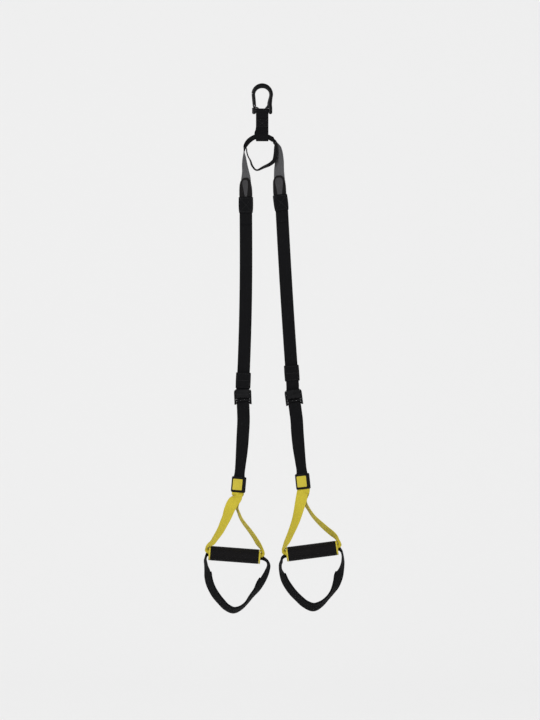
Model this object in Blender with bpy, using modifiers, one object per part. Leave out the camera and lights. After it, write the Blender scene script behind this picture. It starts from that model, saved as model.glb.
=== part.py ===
"""Suspension trainer: two adjustable webbing arms with handles and foot cradles on one carabiner.

Metres. +X is to the right in the front view, +Y points away from the viewer and +Z is up.
The origin is inside the top of the carabiner's bow, where the trainer hangs.
"""
import math

import bmesh
import bpy
import numpy as np
from mathutils import Matrix, Vector

OBJECT = "suspension_trainer"

# Fits
GAP = 0.0003
PIN_PLAY = 0.0001
SWING_GAP = 0.0012
MERGE = 0.00001
CUT_OVERRUN = 0.004

# Webbing
WEB_WIDTH = 0.038
WEB_THICKNESS = 0.002
LOOP_WEB_THICKNESS = 0.0018
SLACK = 0.0006
LAYER_GAP = 0.0009

# Carabiner
BOW_RADIUS = 0.028
BOW_TOP_HALF = 0.0077
LIMB_HALF = 0.006
FRAME_THICKNESS = 0.010
EDGE_ROUND = 0.0025
BAR_DROP = 0.0705
BAR_RADIUS = 0.005
EAR_LENGTH = 0.012
NOSE_ANGLE = 172
SLIP_ANGLE = 5
GATE_GAP = 0.0006
GATE_THICKNESS = 0.009
GATE_HALF = 0.0052
GATE_PIVOT_DROP = 0.0555
GATE_PIVOT_SIDE = 0.0242
TANG_RADIUS = 0.0042
TANG_THICKNESS = 0.003
GATE_PIN_RADIUS = 0.0015
GATE_BORE_RADIUS = 0.0022
GATE_BORE_LENGTH = 0.020
PLUNGER_LENGTH = 0.004
SPRING_WIRE_RADIUS = 0.0003

# Anchor strap and equalizer
ROLL_RADIUS = 0.007
RING_X = -0.0019
RING_DROP = 0.2041
RING_RADIUS = 0.056
CROWN_RADIUS = 0.049
STITCH_THICKNESS = 0.0018
STITCH_START = 0.026
STITCH_LENGTH = 0.046
LOCK_WIDTH = 0.020
LOCK_THICKNESS = 0.0015

# Patch and sleeves
PATCH_WIDTH = 0.041
PATCH_LENGTH = 0.059
PATCH_BORDER = 0.007
PATCH_THICKNESS = 0.0028
INSERT_THICKNESS = 0.0018
INSERT_TAPER_SHARE = 0.45
SLEEVE_WIDTH = 0.045
SLEEVE_LENGTH = 0.051
SLEEVE_DEPTH = 0.010
WRAP_ROUND = 0.0022

# Buckle
BUCKLE_INSIDE = 0.045
PLATE_THICKNESS = 0.0045
PLATE_FRONT = 0.0165
PLATE_BACK = 0.0048
PLATE_TOP = 0.0205
PLATE_FOOT = 0.034
PLATE_BEVEL = 0.0012
ANVIL_THICKNESS = 0.002
ANVIL_TOP = 0.017
ANVIL_FOOT = 0.0165
CAM_RADIUS = 0.0062
CAM_PIN_RADIUS = 0.002
LEVER_WIDTH = 0.0436
LEVER_TOP = 0.0150
LEVER_FOOT = 0.0130
LEVER_DEPTH = 0.0066
LEVER_LIP = 0.0024
NOTCH_WIDTH = 0.004
NOTCH_DEPTH = 0.0025
NOTCH_SPREAD = 0.006
SPRING_POCKET = 0.010
CROSSBAR_DROP = 0.0285
CROSSBAR_RADIUS = 0.003
CAM_RELIEF_SHARE = 0.2

# Adjustment tab and label
TAB_WIDTH = 0.046
TAB_LENGTH = 0.046
TAB_WALL = 0.0024
HAIRPIN_LENGTH = 0.034
LABEL_WIDTH = 0.042
LABEL_LENGTH = 0.045
LABEL_DEPTH = 0.0088
PANEL_WIDTH = 0.031
PANEL_LENGTH = 0.035
PANEL_THICKNESS = 0.001
PANEL_OFFSET = 0.0035

# Handle and foot cradle
GRIP_RADIUS = 0.021
GRIP_LENGTH = 0.151
CAP_THICKNESS = 0.0055
CAP_BORE = 0.0127
CAP_HUB_WALL = 0.0015
CAP_HUB_LENGTH = 0.014
CORE_WALL = 0.0022
RIM_BEND = 0.003
LOOP_LEAD = 0.008
LOOP_PARTING = 0.006
CRADLE_LEAD = 0.005
CRADLE_DROP = 0.173
PAD_WIDTH = 0.042
PAD_THICKNESS = 0.0035

# Counts
ROUND_SIDES = 24
PIN_SIDES = 16
ARC_STEPS = 6
WEB_COLUMNS = 4
COIL_POINTS = 8
GATE_SPRING_TURNS = 6
CAM_SPRING_TURNS = 5

SIDES = {
    "left": {
        "out": -1,
        "pivot_angle": 170,
        "pivot_radius": 0.0538,
        "sleeve_side": -0.0491,
        "sleeve_drop": 0.1866,
        "sleeve_lean": 0,
        "patch_lean": 0,
        "patch_turn": 40,
        "strap_length": 0.5641,
        "strap_lean": -1.0,
        "strap_bow": 0.0042,
        "tab_height": 0.0475,
        "buckle_lean": 2.0,
        "label_side": -0.0138,
        "label_drop": 0.2553,
        "label_lean": -5.0,
        "lower_bow": 0.0048,
        "grip_side": -0.0125,
        "grip_drop": 0.2200,
        "grip_tilt": -4.3,
    },
    "right": {
        "out": 1,
        "pivot_angle": 39.5,
        "pivot_radius": 0.0562,
        "sleeve_side": 0.0634,
        "sleeve_drop": 0.1791,
        "sleeve_lean": 7.0,
        "patch_lean": 2.0,
        "patch_turn": 30,
        "strap_length": 0.5742,
        "strap_lean": 3.57,
        "strap_bow": -0.0016,
        "tab_height": 0.0697,
        "buckle_lean": 7.5,
        "label_side": 0.0259,
        "label_drop": 0.2441,
        "label_lean": 6.0,
        "lower_bow": 0.0,
        "grip_side": 0.0288,
        "grip_drop": 0.2180,
        "grip_tilt": 7.4,
    },
}

# Shares of the bow's radius, of the bar's drop and of the limb's half width, down the spine
SPINE_SHARES = ((0.945, 0.425, 0.97), (0.875, 0.58, 1.0), (0.84, 0.71, 1.03))

# Shares of the way from the ring's side down to the patch, and of the way across; turns in degrees
ARM_SHARES = {
    "left": ((0.13, -0.43, 82), (0.24, -0.32, 75), (0.46, -0.07, 66), (0.79, 0.71, 54)),
    "right": ((0.18, 0.84, 66), (0.27, 0.93, 58), (0.44, 1.0, 48), (0.62, 1.04, 42), (0.80, 0.96, 36)),
}

# Shares of the way down from the label to the grip's end, and of the way out; turns in degrees
BRANCH_SHARES = {
    "left": {
        "left": ((0.12, 0.10, 22), (0.23, 0.25, 32), (0.44, 0.40, 42),
                 (0.66, 0.59, 51), (0.87, 0.86, 66)),
        "right": ((0.18, -0.02, 36), (0.31, 0.0, 58), (0.42, 0.10, 70),
                  (0.61, 0.47, 67), (0.81, 0.84, 68)),
    },
    "right": {
        "left": ((0.16, 0.08, 20), (0.32, 0.22, 40), (0.51, 0.41, 51),
                 (0.71, 0.68, 60), (0.90, 0.99, 70)),
        "right": ((0.20, 0.02, 34), (0.36, 0.14, 62), (0.47, 0.255, 72),
                  (0.69, 0.60, 63), (0.88, 0.95, 70)),
    },
}

# Shares of the grip's half length and of the cradle's drop; turns in degrees
CRADLE_SHARES = {
    "left": ((-1.05, 0.14, 74), (-1.03, 0.22, 70), (-0.965, 0.33, 58), (-0.93, 0.435, 54),
             (-0.86, 0.54, 52), (-0.74, 0.65, 52), (-0.59, 0.75, 51), (-0.39, 0.85, 53),
             (-0.16, 0.945, 54), (0.11, 0.99, 56), (0.37, 0.94, 68), (0.55, 0.86, 75),
             (0.77, 0.70, 70), (0.94, 0.585, 63), (1.05, 0.47, 55), (1.16, 0.36, 58),
             (1.25, 0.245, 65), (1.27, 0.14, 74)),
    "right": ((-1.15, 0.10, 80), (-1.23, 0.16, 78), (-1.25, 0.23, 76), (-1.21, 0.34, 63),
              (-1.16, 0.455, 57), (-1.06, 0.57, 54), (-0.92, 0.69, 53), (-0.73, 0.81, 53),
              (-0.51, 0.925, 50), (-0.20, 1.0, 46), (0.06, 0.965, 58), (0.34, 0.875, 70),
              (0.555, 0.78, 68), (0.715, 0.68, 57), (0.82, 0.58, 50), (0.90, 0.475, 46),
              (1.01, 0.37, 62), (1.08, 0.27, 72), (1.09, 0.15, 80)),
}
# The first and last of those stations that the pad covers
PAD_STATIONS = {"left": (3, 16), "right": (3, 16)}

# Where the loop's ends are sewn on, as shares of the crown's sides, and in between shares of the
# ring's radius at angles in degrees, with turns in degrees
LOCK_SHARES = {
    "left": 0.87,
    "right": 0.85,
    "path": ((0.87, 160, 87), (0.83, 174, 88), (0.76, 195, 90), (0.74, 212, 96), (0.865, 233, 104),
             (0.97, 251, 118), (0.765, 280, 120), (0.765, 313, 120), (0.80, 331, 128), (0.76, 354, 122),
             (0.80, 22, 120), (0.85, 34, 105)),
}

# Shares of the lever's front depth, measured towards the viewer, and of its top or foot height
LEVER_FRONT_SHARES = ((0.30, 1.0), (0.52, 0.92), (0.80, 0.62), (0.97, 0.30), (1.0, 0.0),
                      (0.95, -0.40), (0.80, -0.80), (0.62, -1.0))

# Shares of a side plate's front or back reach, and of its top or foot reach
PLATE_SHARES = ((1.0, 0.72), (0.75, 1.0), (-0.62, 1.0), (-0.92, 0.74), (-1.0, 0.25), (-0.97, -0.18),
                (-0.42, -0.66), (-0.33, -0.86), (-0.24, -1.0), (0.75, -1.0), (1.0, -0.85), (1.0, -0.3))

LOOKS = {
    "black_metal": ((0.020, 0.020, 0.022), 0.38, 0.9),
    "steel": ((0.45, 0.45, 0.46), 0.35, 1.0),
    "black_webbing": ((0.012, 0.012, 0.013), 0.85, 0.0),
    "grey_webbing": ((0.11, 0.11, 0.115), 0.8, 0.0),
    "yellow_webbing": ((0.60, 0.47, 0.035), 0.8, 0.0),
    "black_rubber": ((0.014, 0.013, 0.013), 0.7, 0.0),
    "grey_insert": ((0.055, 0.055, 0.06), 0.75, 0.0),
    "yellow_plastic": ((0.62, 0.48, 0.03), 0.45, 0.0),
    "black_plastic": ((0.018, 0.018, 0.018), 0.5, 0.0),
}

Y_AXIS = Vector((0, 1, 0))


# Scene helpers


def clear_scene():
    """Remove whatever the scene holds."""
    for old in list(bpy.data.objects):
        bpy.data.objects.remove(old, do_unlink=True)


def new_collection(name):
    """A collection linked to the scene."""
    made = bpy.data.collections.new(name)
    bpy.context.scene.collection.children.link(made)
    return made


def spot(x, z, angle=0.0, y=0.0):
    """A frame at x, y, z, turned anticlockwise in the front view by an angle in degrees."""
    return Matrix.Translation((x, y, z)) @ Matrix.Rotation(-math.radians(angle), 4, "Y")


def pivot(name, frame, parent=None):
    """An empty on a joint's axis, which carries what moves there."""
    empty = bpy.data.objects.new(name, None)
    parts.objects.link(empty)
    empty.empty_display_size = WEB_WIDTH
    hang(empty, frame, parent)
    return empty


def hang(thing, frame, parent):
    """Put a thing at a frame in the world, under a parent empty."""
    thing["place"] = [value for row in frame for value in row]
    if parent is None:
        thing.matrix_world = frame
        return
    thing.parent = parent
    thing.matrix_parent_inverse = place_of(parent).inverted()
    thing.matrix_basis = frame


def place_of(thing):
    """The world frame that hang gave a thing."""
    values = list(thing["place"])
    return Matrix([values[4 * row:4 * row + 4] for row in range(4)])


def add(name, data, look, frame, parent):
    """A named sub-part in its place, with its own material."""
    piece = bpy.data.objects.new(name, data)
    parts.objects.link(piece)
    hang(piece, frame, parent)
    colour, roughness, metallic = LOOKS[look]
    material = bpy.data.materials.new(name)
    material.use_nodes = True
    shader = material.node_tree.nodes["Principled BSDF"]
    shader.inputs["Base Color"].default_value = (*colour, 1)
    shader.inputs["Roughness"].default_value = roughness
    shader.inputs["Metallic"].default_value = metallic
    data.materials.append(material)
    return piece


def as_mesh(piece):
    """A curve object turned into a welded mesh object of the same name and place."""
    name, parent, frame = piece.name, piece.parent, place_of(piece)
    bpy.context.view_layer.update()
    evaluated = piece.evaluated_get(bpy.context.evaluated_depsgraph_get())
    mesh = bpy.data.meshes.new_from_object(evaluated)
    bm = bmesh.new()
    bm.from_mesh(mesh)
    bmesh.ops.remove_doubles(bm, verts=bm.verts, dist=MERGE)
    bm.to_mesh(mesh)
    bm.free()
    bpy.data.objects.remove(piece, do_unlink=True)
    made = bpy.data.objects.new(name, mesh)
    parts.objects.link(made)
    hang(made, frame, parent)
    return made


def tool(name, mesh, frame):
    """A cutter, or a shape to be joined, kept out of the model."""
    made = bpy.data.objects.new(name, mesh)
    cutters.objects.link(made)
    made.matrix_world = frame
    made.hide_render = True
    made.display_type = "WIRE"
    return made


def combine(piece, other, operation="DIFFERENCE"):
    """Cut a piece by a tool, or join the tool to it."""
    modifier = piece.modifiers.new(other.name, "BOOLEAN")
    modifier.operation = operation
    modifier.solver = "EXACT"
    modifier.object = other


def into_tool(piece):
    """Make a modelled piece a tool that another piece is joined with."""
    parts.objects.unlink(piece)
    cutters.objects.link(piece)
    piece.hide_render = True
    piece.display_type = "WIRE"
    return piece


# Shapes


def box_mesh(name, size):
    """A box centred on its origin."""
    bm = bmesh.new()
    bmesh.ops.create_cube(bm, size=1)
    bmesh.ops.scale(bm, vec=size, verts=bm.verts)
    mesh = bpy.data.meshes.new(name)
    bm.to_mesh(mesh)
    bm.free()
    return mesh


def rod_mesh(name, radius, length, sides=PIN_SIDES):
    """A rod centred on its origin, along local Z."""
    bm = bmesh.new()
    bmesh.ops.create_cone(bm, cap_ends=True, segments=sides, radius1=radius, radius2=radius, depth=length)
    mesh = bpy.data.meshes.new(name)
    bm.to_mesh(mesh)
    bm.free()
    return mesh


def outline(name, look, loops, thickness, frame, parent, bevel=0.0):
    """A flat outline in local X and Y, with a hole for each further loop, extruded along local Z."""
    curve = bpy.data.curves.new(name, "CURVE")
    curve.dimensions = "2D"
    curve.fill_mode = "BOTH"
    curve.extrude = thickness / 2 - bevel
    curve.bevel_depth = bevel
    curve.bevel_resolution = 1
    curve.offset = -bevel
    for loop in loops:
        spline = curve.splines.new("POLY")
        spline.points.add(len(loop) - 1)
        for point, (x, y) in zip(spline.points, loop):
            point.co = (x, y, 0, 1)
        spline.use_cyclic_u = True
    return add(name, curve, look, frame, parent)


def circle(radius, sides=PIN_SIDES, x=0.0, y=0.0):
    """Points round a circle."""
    turns = [2 * math.pi * (step + 0.5) / sides for step in range(sides)]
    return [(x + radius * math.cos(turn), y + radius * math.sin(turn)) for turn in turns]


def arc(x, y, radius, start, end, steps=ARC_STEPS):
    """Points along an arc between two angles in degrees."""
    turns = [math.radians(start + (end - start) * step / steps) for step in range(steps + 1)]
    return [(x + radius * math.cos(turn), y + radius * math.sin(turn)) for turn in turns]


def rounded_box(width, depth, radius, x=0.0, y=0.0, steps=2):
    """A rectangle with round corners."""
    half_x, half_y = width / 2 - radius, depth / 2 - radius
    corners = ((1, 1, 0), (-1, 1, 90), (-1, -1, 180), (1, -1, 270))
    return [
        point
        for side_x, side_y, start in corners
        for point in arc(x + side_x * half_x, y + side_y * half_y, radius, start, start + 90, steps)
    ]


def turned(name, look, profile, frame, parent):
    """A ring turned about local Z from a closed profile of (radius, height), outer side downwards."""
    count = len(profile)
    mesh = bpy.data.meshes.new(name)
    edges = [(index, (index + 1) % count) for index in range(count)]
    mesh.from_pydata([(radius, 0, height) for radius, height in profile], edges, [])
    piece = add(name, mesh, look, frame, parent)
    screw = piece.modifiers.new("turn", "SCREW")
    screw.axis = "Z"
    screw.steps = ROUND_SIDES
    screw.render_steps = ROUND_SIDES
    screw.use_merge_vertices = True
    screw.merge_threshold = MERGE
    screw.use_smooth_shade = True
    return piece


def coil(name, look, radius, length, turns, frame, parent):
    """A coil spring along local Z, centred on its origin."""
    curve = bpy.data.curves.new(name, "CURVE")
    curve.dimensions = "3D"
    curve.bevel_depth = SPRING_WIRE_RADIUS
    curve.bevel_resolution = 1
    curve.use_fill_caps = True
    steps = turns * COIL_POINTS
    spline = curve.splines.new("POLY")
    spline.points.add(steps)
    for step, point in enumerate(spline.points):
        turn = 2 * math.pi * step / COIL_POINTS
        rise = length * (step / steps - 1 / 2)
        point.co = (radius * math.cos(turn), radius * math.sin(turn), rise, 1)
    return add(name, curve, look, frame, parent)


def smooth(stations, steps):
    """Values and directions along a smooth curve through stations that start with x, y, z."""
    table = np.array(stations, float)
    spans = np.linalg.norm(np.diff(table[:, :3], axis=0), axis=1)
    knots = np.concatenate([[0], np.cumsum(spans)])
    slopes = np.gradient(table, knots, axis=0)
    rows = []
    for index, span in enumerate(spans):
        last = index == len(spans) - 1
        start, end = table[index], table[index + 1]
        for step in range(steps + last):
            t = step / steps
            leaving, arriving = span * slopes[index], span * slopes[index + 1]
            value = (
                (2 * t**3 - 3 * t**2 + 1) * start + (t**3 - 2 * t**2 + t) * leaving
                + (3 * t**2 - 2 * t**3) * end + (t**3 - t**2) * arriving
            )
            direction = (
                (6 * t**2 - 6 * t) * (start - end)
                + (3 * t**2 - 4 * t + 1) * leaving + (3 * t**2 - 2 * t) * arriving
            )
            rows.append((value, Vector(direction[:3]).normalized()))
    return rows


def laid(stations, steps=2, across=None):
    """Rows of webbing along stations of (x, y, z, turn, curl): point, side, face and curl.

    A turn of 0 lays the face towards the viewer and 90 shows the edge. With across, a turn
    of 0 keeps the webbing's width along that direction instead.
    """
    rows = []
    for value, direction in smooth(stations, steps):
        flat = Y_AXIS.cross(direction) if across is None else across - across.project(direction)
        turn = math.radians(value[3])
        side = Matrix.Rotation(turn, 3, direction) @ flat.normalized()
        rows.append((Vector(value[:3]), side, side.cross(direction), math.radians(value[4])))
    return rows


def ribbon(name, look, rows, parent, width=WEB_WIDTH, thickness=WEB_THICKNESS, columns=WEB_COLUMNS):
    """Webbing: a grid bent onto its rows, curled across its width, and given its thickness."""
    bm = bmesh.new()
    bmesh.ops.create_grid(bm, x_segments=columns, y_segments=len(rows) - 1, size=0.5)
    for vert in bm.verts:
        point, side, face, curl = rows[round((vert.co.y + 0.5) * (len(rows) - 1))]
        across = vert.co.x * width
        if abs(curl) > 0.001:
            radius = width / curl
            turn = across / radius
            vert.co = point + side * radius * math.sin(turn) + face * radius * (1 - math.cos(turn))
        else:
            vert.co = point + side * across
    mesh = bpy.data.meshes.new(name)
    bm.to_mesh(mesh)
    bm.free()
    mesh.transform(place_of(parent).inverted())
    piece = add(name, mesh, look, place_of(parent), parent)
    solid = piece.modifiers.new("thickness", "SOLIDIFY")
    solid.thickness = thickness
    solid.offset = 0
    solid.use_even_offset = True
    return piece


def sleeve(name, look, outer, inner, length, frame, parent, round_edge=WRAP_ROUND):
    """A sewn wrap: a tube of webbing with a slot through it along local Z."""
    loops = (
        rounded_box(outer[0], outer[1], round_edge, y=outer[2]),
        rounded_box(inner[0], inner[1], SLACK, y=inner[2]),
    )
    return outline(name, look, loops, length, frame, parent)


# Carabiner

FRONT_PLANE = Matrix.Rotation(math.radians(90), 4, "X")
ALONG_X = Matrix.Rotation(math.radians(90), 4, "Y")
BOW_DROP = BOW_RADIUS - BOW_TOP_HALF
EYE_INSIDE = WEB_WIDTH / 2 + SLACK
EAR_MIDDLE = EYE_INSIDE + LIMB_HALF


def limb(stations, steps=2):
    """The outline of a bar in the front plane from stations of (x, z, half width)."""
    rows = smooth([(x, 0, z, half) for x, z, half in stations], steps)
    sides = []
    for way in (1, -1):
        edge = [
            (value[0] - way * direction.z * value[3], value[2] + way * direction.x * value[3])
            for value, direction in rows
        ]
        sides.append(edge)
    (value, direction) = rows[-1]
    heading = math.degrees(math.atan2(direction.z, direction.x))
    end = arc(value[0], value[2], value[3], heading + 90, heading - 90, 4)
    return sides[0] + end[1:-1] + sides[1][::-1]


def carabiner_frame(parent):
    """Bow, spine and ears, with the captive bar between the ears."""
    bow = []
    for angle in (NOSE_ANGLE, NOSE_ANGLE - 12, 130, 98, 65, 32, 0):
        turn = math.radians(angle)
        swell = (BOW_TOP_HALF - LIMB_HALF) * math.sin(turn) ** 2
        bow.append((BOW_RADIUS * math.cos(turn), BOW_RADIUS * math.sin(turn) - BOW_DROP, LIMB_HALF + swell))
    spine = [(BOW_RADIUS * x, -BAR_DROP * z, LIMB_HALF * half) for x, z, half in SPINE_SHARES]
    ear_top = -GATE_PIVOT_DROP - GATE_HALF - GATE_GAP
    ear = [(EAR_MIDDLE, z, LIMB_HALF) for z in (ear_top, -BAR_DROP, -BAR_DROP - EAR_LENGTH / 2)]
    at = place_of(parent)
    piece = outline("carabiner_frame", "black_metal", (limb(bow + spine + ear),), FRAME_THICKNESS,
                    at @ FRONT_PLANE, parent, EDGE_ROUND)
    piece = as_mesh(piece)
    lug = outline("left_ear", "black_metal", (limb([(-x, z, half) for x, z, half in ear], 1),),
                  FRAME_THICKNESS, at @ FRONT_PLANE, parent, EDGE_ROUND)
    combine(piece, into_tool(as_mesh(lug)), "UNION")
    bar = tool("captive_bar", rod_mesh("captive_bar", BAR_RADIUS, 2 * EAR_MIDDLE),
               at @ spot(0, -BAR_DROP) @ ALONG_X)
    combine(piece, bar, "UNION")
    tang_reach = TANG_RADIUS + GATE_HALF + GATE_GAP + EAR_LENGTH / 2
    tang = [
        (x - GATE_PIVOT_SIDE, y - GATE_PIVOT_DROP)
        for x, y in arc(0, 0, TANG_RADIUS, 0, 180) + [(-TANG_RADIUS, -tang_reach), (TANG_RADIUS, -tang_reach)]
    ]
    neck = outline("tang", "black_metal", (tang,), TANG_THICKNESS, at @ FRONT_PLANE, parent)
    combine(piece, into_tool(as_mesh(neck)), "UNION")
    bore = tool("tang_bore", rod_mesh("tang_bore", GATE_PIN_RADIUS + PIN_PLAY, FRAME_THICKNESS),
                at @ spot(-GATE_PIVOT_SIDE, -GATE_PIVOT_DROP) @ FRONT_PLANE)
    combine(piece, bore)
    return piece


def carabiner_gate(parent):
    """The gate: a bar with a forked foot over the tang and a bore for its spring."""
    at = place_of(parent)
    nose = math.radians(NOSE_ANGLE)
    top = BOW_DROP - BOW_RADIUS * math.sin(nose) + 2 * GATE_GAP + EDGE_ROUND / 2
    across = GATE_PIVOT_SIDE + BOW_RADIUS * math.cos(nose)
    rise = GATE_PIVOT_DROP - top
    lean = math.degrees(math.atan2(-across, rise))
    bar = [(across * share, rise * share, GATE_HALF) for share in (1, 2 / 3, 1 / 3, 0)]
    gate = as_mesh(outline("carabiner_gate", "black_metal", (limb(bar),), GATE_THICKNESS,
                           at @ FRONT_PLANE, parent, EDGE_ROUND))
    slot_top = TANG_RADIUS + 3 * GAP
    slot_height = slot_top + GATE_HALF + CUT_OVERRUN
    slot = tool("gate_slot", box_mesh("gate_slot", (4 * GATE_HALF, TANG_THICKNESS + 2 * GAP, slot_height)),
                at @ Matrix.Translation((0, 0, slot_top - slot_height / 2)))
    combine(gate, slot)
    bore_length = GATE_BORE_LENGTH + slot_top
    bore = tool("spring_bore", rod_mesh("spring_bore", GATE_BORE_RADIUS, bore_length),
                at @ spot(0, 0, lean) @ Matrix.Translation((0, 0, bore_length / 2)))
    combine(gate, bore)
    pin_bore = tool("gate_pin_bore", rod_mesh("gate_pin_bore", GATE_PIN_RADIUS + PIN_PLAY,
                                              GATE_THICKNESS + CUT_OVERRUN), at @ FRONT_PLANE)
    combine(gate, pin_bore)
    plunger_foot = TANG_RADIUS + GAP
    add("gate_plunger", rod_mesh("gate_plunger", GATE_BORE_RADIUS - GAP, PLUNGER_LENGTH), "steel",
        at @ spot(0, 0, lean) @ Matrix.Translation((0, 0, plunger_foot + PLUNGER_LENGTH / 2)), parent)
    spring_foot = plunger_foot + PLUNGER_LENGTH + GAP + SPRING_WIRE_RADIUS
    spring_top = bore_length - GAP - SPRING_WIRE_RADIUS
    coil("gate_spring", "steel", GATE_BORE_RADIUS - GAP - SPRING_WIRE_RADIUS, spring_top - spring_foot,
         GATE_SPRING_TURNS, at @ spot(0, 0, lean) @ Matrix.Translation((0, 0, (spring_foot + spring_top) / 2)),
         parent)
    add("gate_pin", rod_mesh("gate_pin", GATE_PIN_RADIUS, GATE_THICKNESS), "steel", at @ FRONT_PLANE,
        parent.parent)


# Anchor strap and equalizer

SIDE_PLANE = Matrix(((0, 0, 1, 0), (1, 0, 0, 0), (0, 1, 0, 0), (0, 0, 0, 1)))
CROWN_INSIDE = CROWN_RADIUS - WEB_THICKNESS / 2
CROWN_OUTSIDE = CROWN_RADIUS + 2 * ROLL_RADIUS + WEB_THICKNESS / 2
FOLD_REACH = WEB_WIDTH / 2 + abs(RING_X)


def anchor_strap(parent):
    """Webbing round the captive bar, sewn to itself, with the equalizer's fold at its foot."""
    at = place_of(parent)
    eye = BAR_RADIUS + GAP
    eye_outside = eye + WEB_THICKNESS
    fold = ROLL_RADIUS + WEB_THICKNESS / 2 + 2 * GAP
    fold_outside = fold + WEB_THICKNESS
    drop = RING_DROP - BAR_DROP
    low = math.sqrt(CROWN_INSIDE**2 - FOLD_REACH**2) - drop - 2 * GAP + fold
    high = CROWN_OUTSIDE - drop + 2 * GAP - fold
    neck = WEB_THICKNESS + GAP
    stitch = -neck - STITCH_THICKNESS
    outer = arc(0, 0, eye_outside, -50, 230, 12)
    outer += [(-neck, -STITCH_START + WEB_THICKNESS), (stitch, -STITCH_START)]
    outer += [(stitch, -STITCH_START - STITCH_LENGTH * 0.6)]
    outer += arc(0, high, fold_outside, 140, 180, 2) + arc(0, low, fold_outside, 180, 360, 10)
    outer += arc(0, high, fold_outside, 0, 50, 2)
    outer += [(neck, high + 2 * fold_outside), (neck, -STITCH_START + WEB_THICKNESS)]
    upper_hole = circle(eye, PIN_SIDES)
    lower_hole = arc(0, high, fold, 0, 180, 6) + arc(0, low, fold, 180, 360, 6)
    outline("anchor_strap", "black_webbing", (outer, upper_hole, lower_hole), WEB_WIDTH,
            at @ SIDE_PLANE, parent)


def ring_point(angle, radius):
    """A point on the ring at an angle in degrees, anticlockwise from +X in the front view."""
    turn = math.radians(angle)
    return RING_X + radius * math.cos(turn), 0, radius * math.sin(turn) - RING_DROP


def crown_span(side):
    """The angles at which a side of the crown leaves the fold and ends."""
    size = SIDES[side]
    edge = size["out"] * (WEB_WIDTH / 2 + SWING_GAP) - RING_X
    gap_angle = math.degrees(SWING_GAP / 2 / size["pivot_radius"])
    return math.degrees(math.acos(edge / CROWN_RADIUS)), size["pivot_angle"] + size["out"] * gap_angle


def crown_open(side, share):
    """How far the crown has opened from its roll, at a share of the way from the fold to a side's end."""
    fold, last = crown_span(side)
    rolled = SLIP_ANGLE / abs(last - fold)
    return max(0, share - rolled) / (1 - rolled)


def crown_radius(side, share):
    """The radius of the crown's path at a share of the way from the fold to a side's end."""
    return CROWN_RADIUS + (SIDES[side]["pivot_radius"] - CROWN_RADIUS) * crown_open(side, share)


def equalizer_crown(parent):
    """The equalizer's webbing through the fold, rolled up there and opening to a flat edge at each side."""
    full = math.degrees(WEB_WIDTH / ROLL_RADIUS)
    stations = []
    for side, shares in (("left", (1, 0.75, 0.5, 0.25, 0)), ("right", (0, 0.25, 0.5, 0.75, 1))):
        fold, last = crown_span(side)
        for share in shares:
            angle = fold + (last - fold) * share
            curl = full * (1 - crown_open(side, share))
            stations.append((*ring_point(angle, crown_radius(side, share)), -90, curl))
        if side == "left":
            middle = (fold + crown_span("right")[0]) / 2
            stations.append((*ring_point(middle, CROWN_RADIUS), -90, full))
    ribbon("equalizer_crown", "black_webbing", laid(stations), parent, columns=2 * WEB_COLUMNS)


def stabilizing_loop(parent):
    """Thin webbing that closes the ring below the fold, sewn to the equalizer at both ends."""
    ends = []
    for side in SIDES:
        fold, last = crown_span(side)
        share = LOCK_SHARES[side]
        radius = crown_radius(side, share) - WEB_THICKNESS / 2 - GAP - LOCK_THICKNESS / 2
        ends.append((*ring_point(fold + (last - fold) * share, radius), 90, 0))
    path = [(*ring_point(angle, RING_RADIUS * share), turn, 0) for share, angle, turn in LOCK_SHARES["path"]]
    stations = [ends[0], *path, ends[1]]
    ribbon("stabilizing_loop", "black_webbing", laid(stations), parent, LOCK_WIDTH, LOCK_THICKNESS, 1)


# Arms


def sleeve_frame(side):
    """The mouth of a side's top sleeve, with local Z up the sleeve."""
    size = SIDES[side]
    return spot(RING_X + size["sleeve_side"], -RING_DROP - size["sleeve_drop"], size["sleeve_lean"])


def patch_frame(side):
    """The foot of a side's wear patch, just above the sleeve."""
    foot = sleeve_frame(side) @ Vector((0, 0, SLEEVE_LENGTH + GAP))
    return spot(foot.x, foot.z, SIDES[side]["patch_lean"])


def strap_point(side, distance):
    """A point on a side's main strap, at a distance down from the sleeve's mouth."""
    size = SIDES[side]
    mouth = sleeve_frame(side).translation
    bow = size["strap_bow"] * math.sin(math.pi * distance / size["strap_length"])
    return spot(mouth.x, mouth.z, size["strap_lean"]) @ Vector((bow, 0, -distance))


def strap_heading(side, distance):
    """The lean of a side's main strap, at a distance down from the sleeve's mouth."""
    size = SIDES[side]
    slope = size["strap_bow"] * math.pi / size["strap_length"]
    slope *= math.cos(math.pi * distance / size["strap_length"])
    return size["strap_lean"] + math.degrees(math.atan(slope))


def buckle_frame(side):
    """The middle of a side's buckle at the height of the cam pin, in the plane of the main strap."""
    size = SIDES[side]
    middle = strap_point(side, size["strap_length"])
    return spot(middle.x, middle.z, size["buckle_lean"])


def crossbar_frame(side):
    """The middle of a side's lower crossbar."""
    return buckle_frame(side) @ Matrix.Translation((0, 0, -CROSSBAR_DROP))


def label_frame(side):
    """The middle of a side's label box."""
    size = SIDES[side]
    bar = crossbar_frame(side).translation
    return spot(bar.x + size["label_side"], bar.z - size["label_drop"], size["label_lean"])


def grip_frame(side):
    """The middle of a side's grip, with local X along it."""
    size = SIDES[side]
    label = label_frame(side).translation
    return spot(label.x + size["grip_side"], label.z - size["grip_drop"], size["grip_tilt"])


def shifted(rows, distance):
    """The same rows moved out along the webbing's face."""
    return [(point + face * distance, side, face, curl) for point, side, face, curl in rows]


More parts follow.
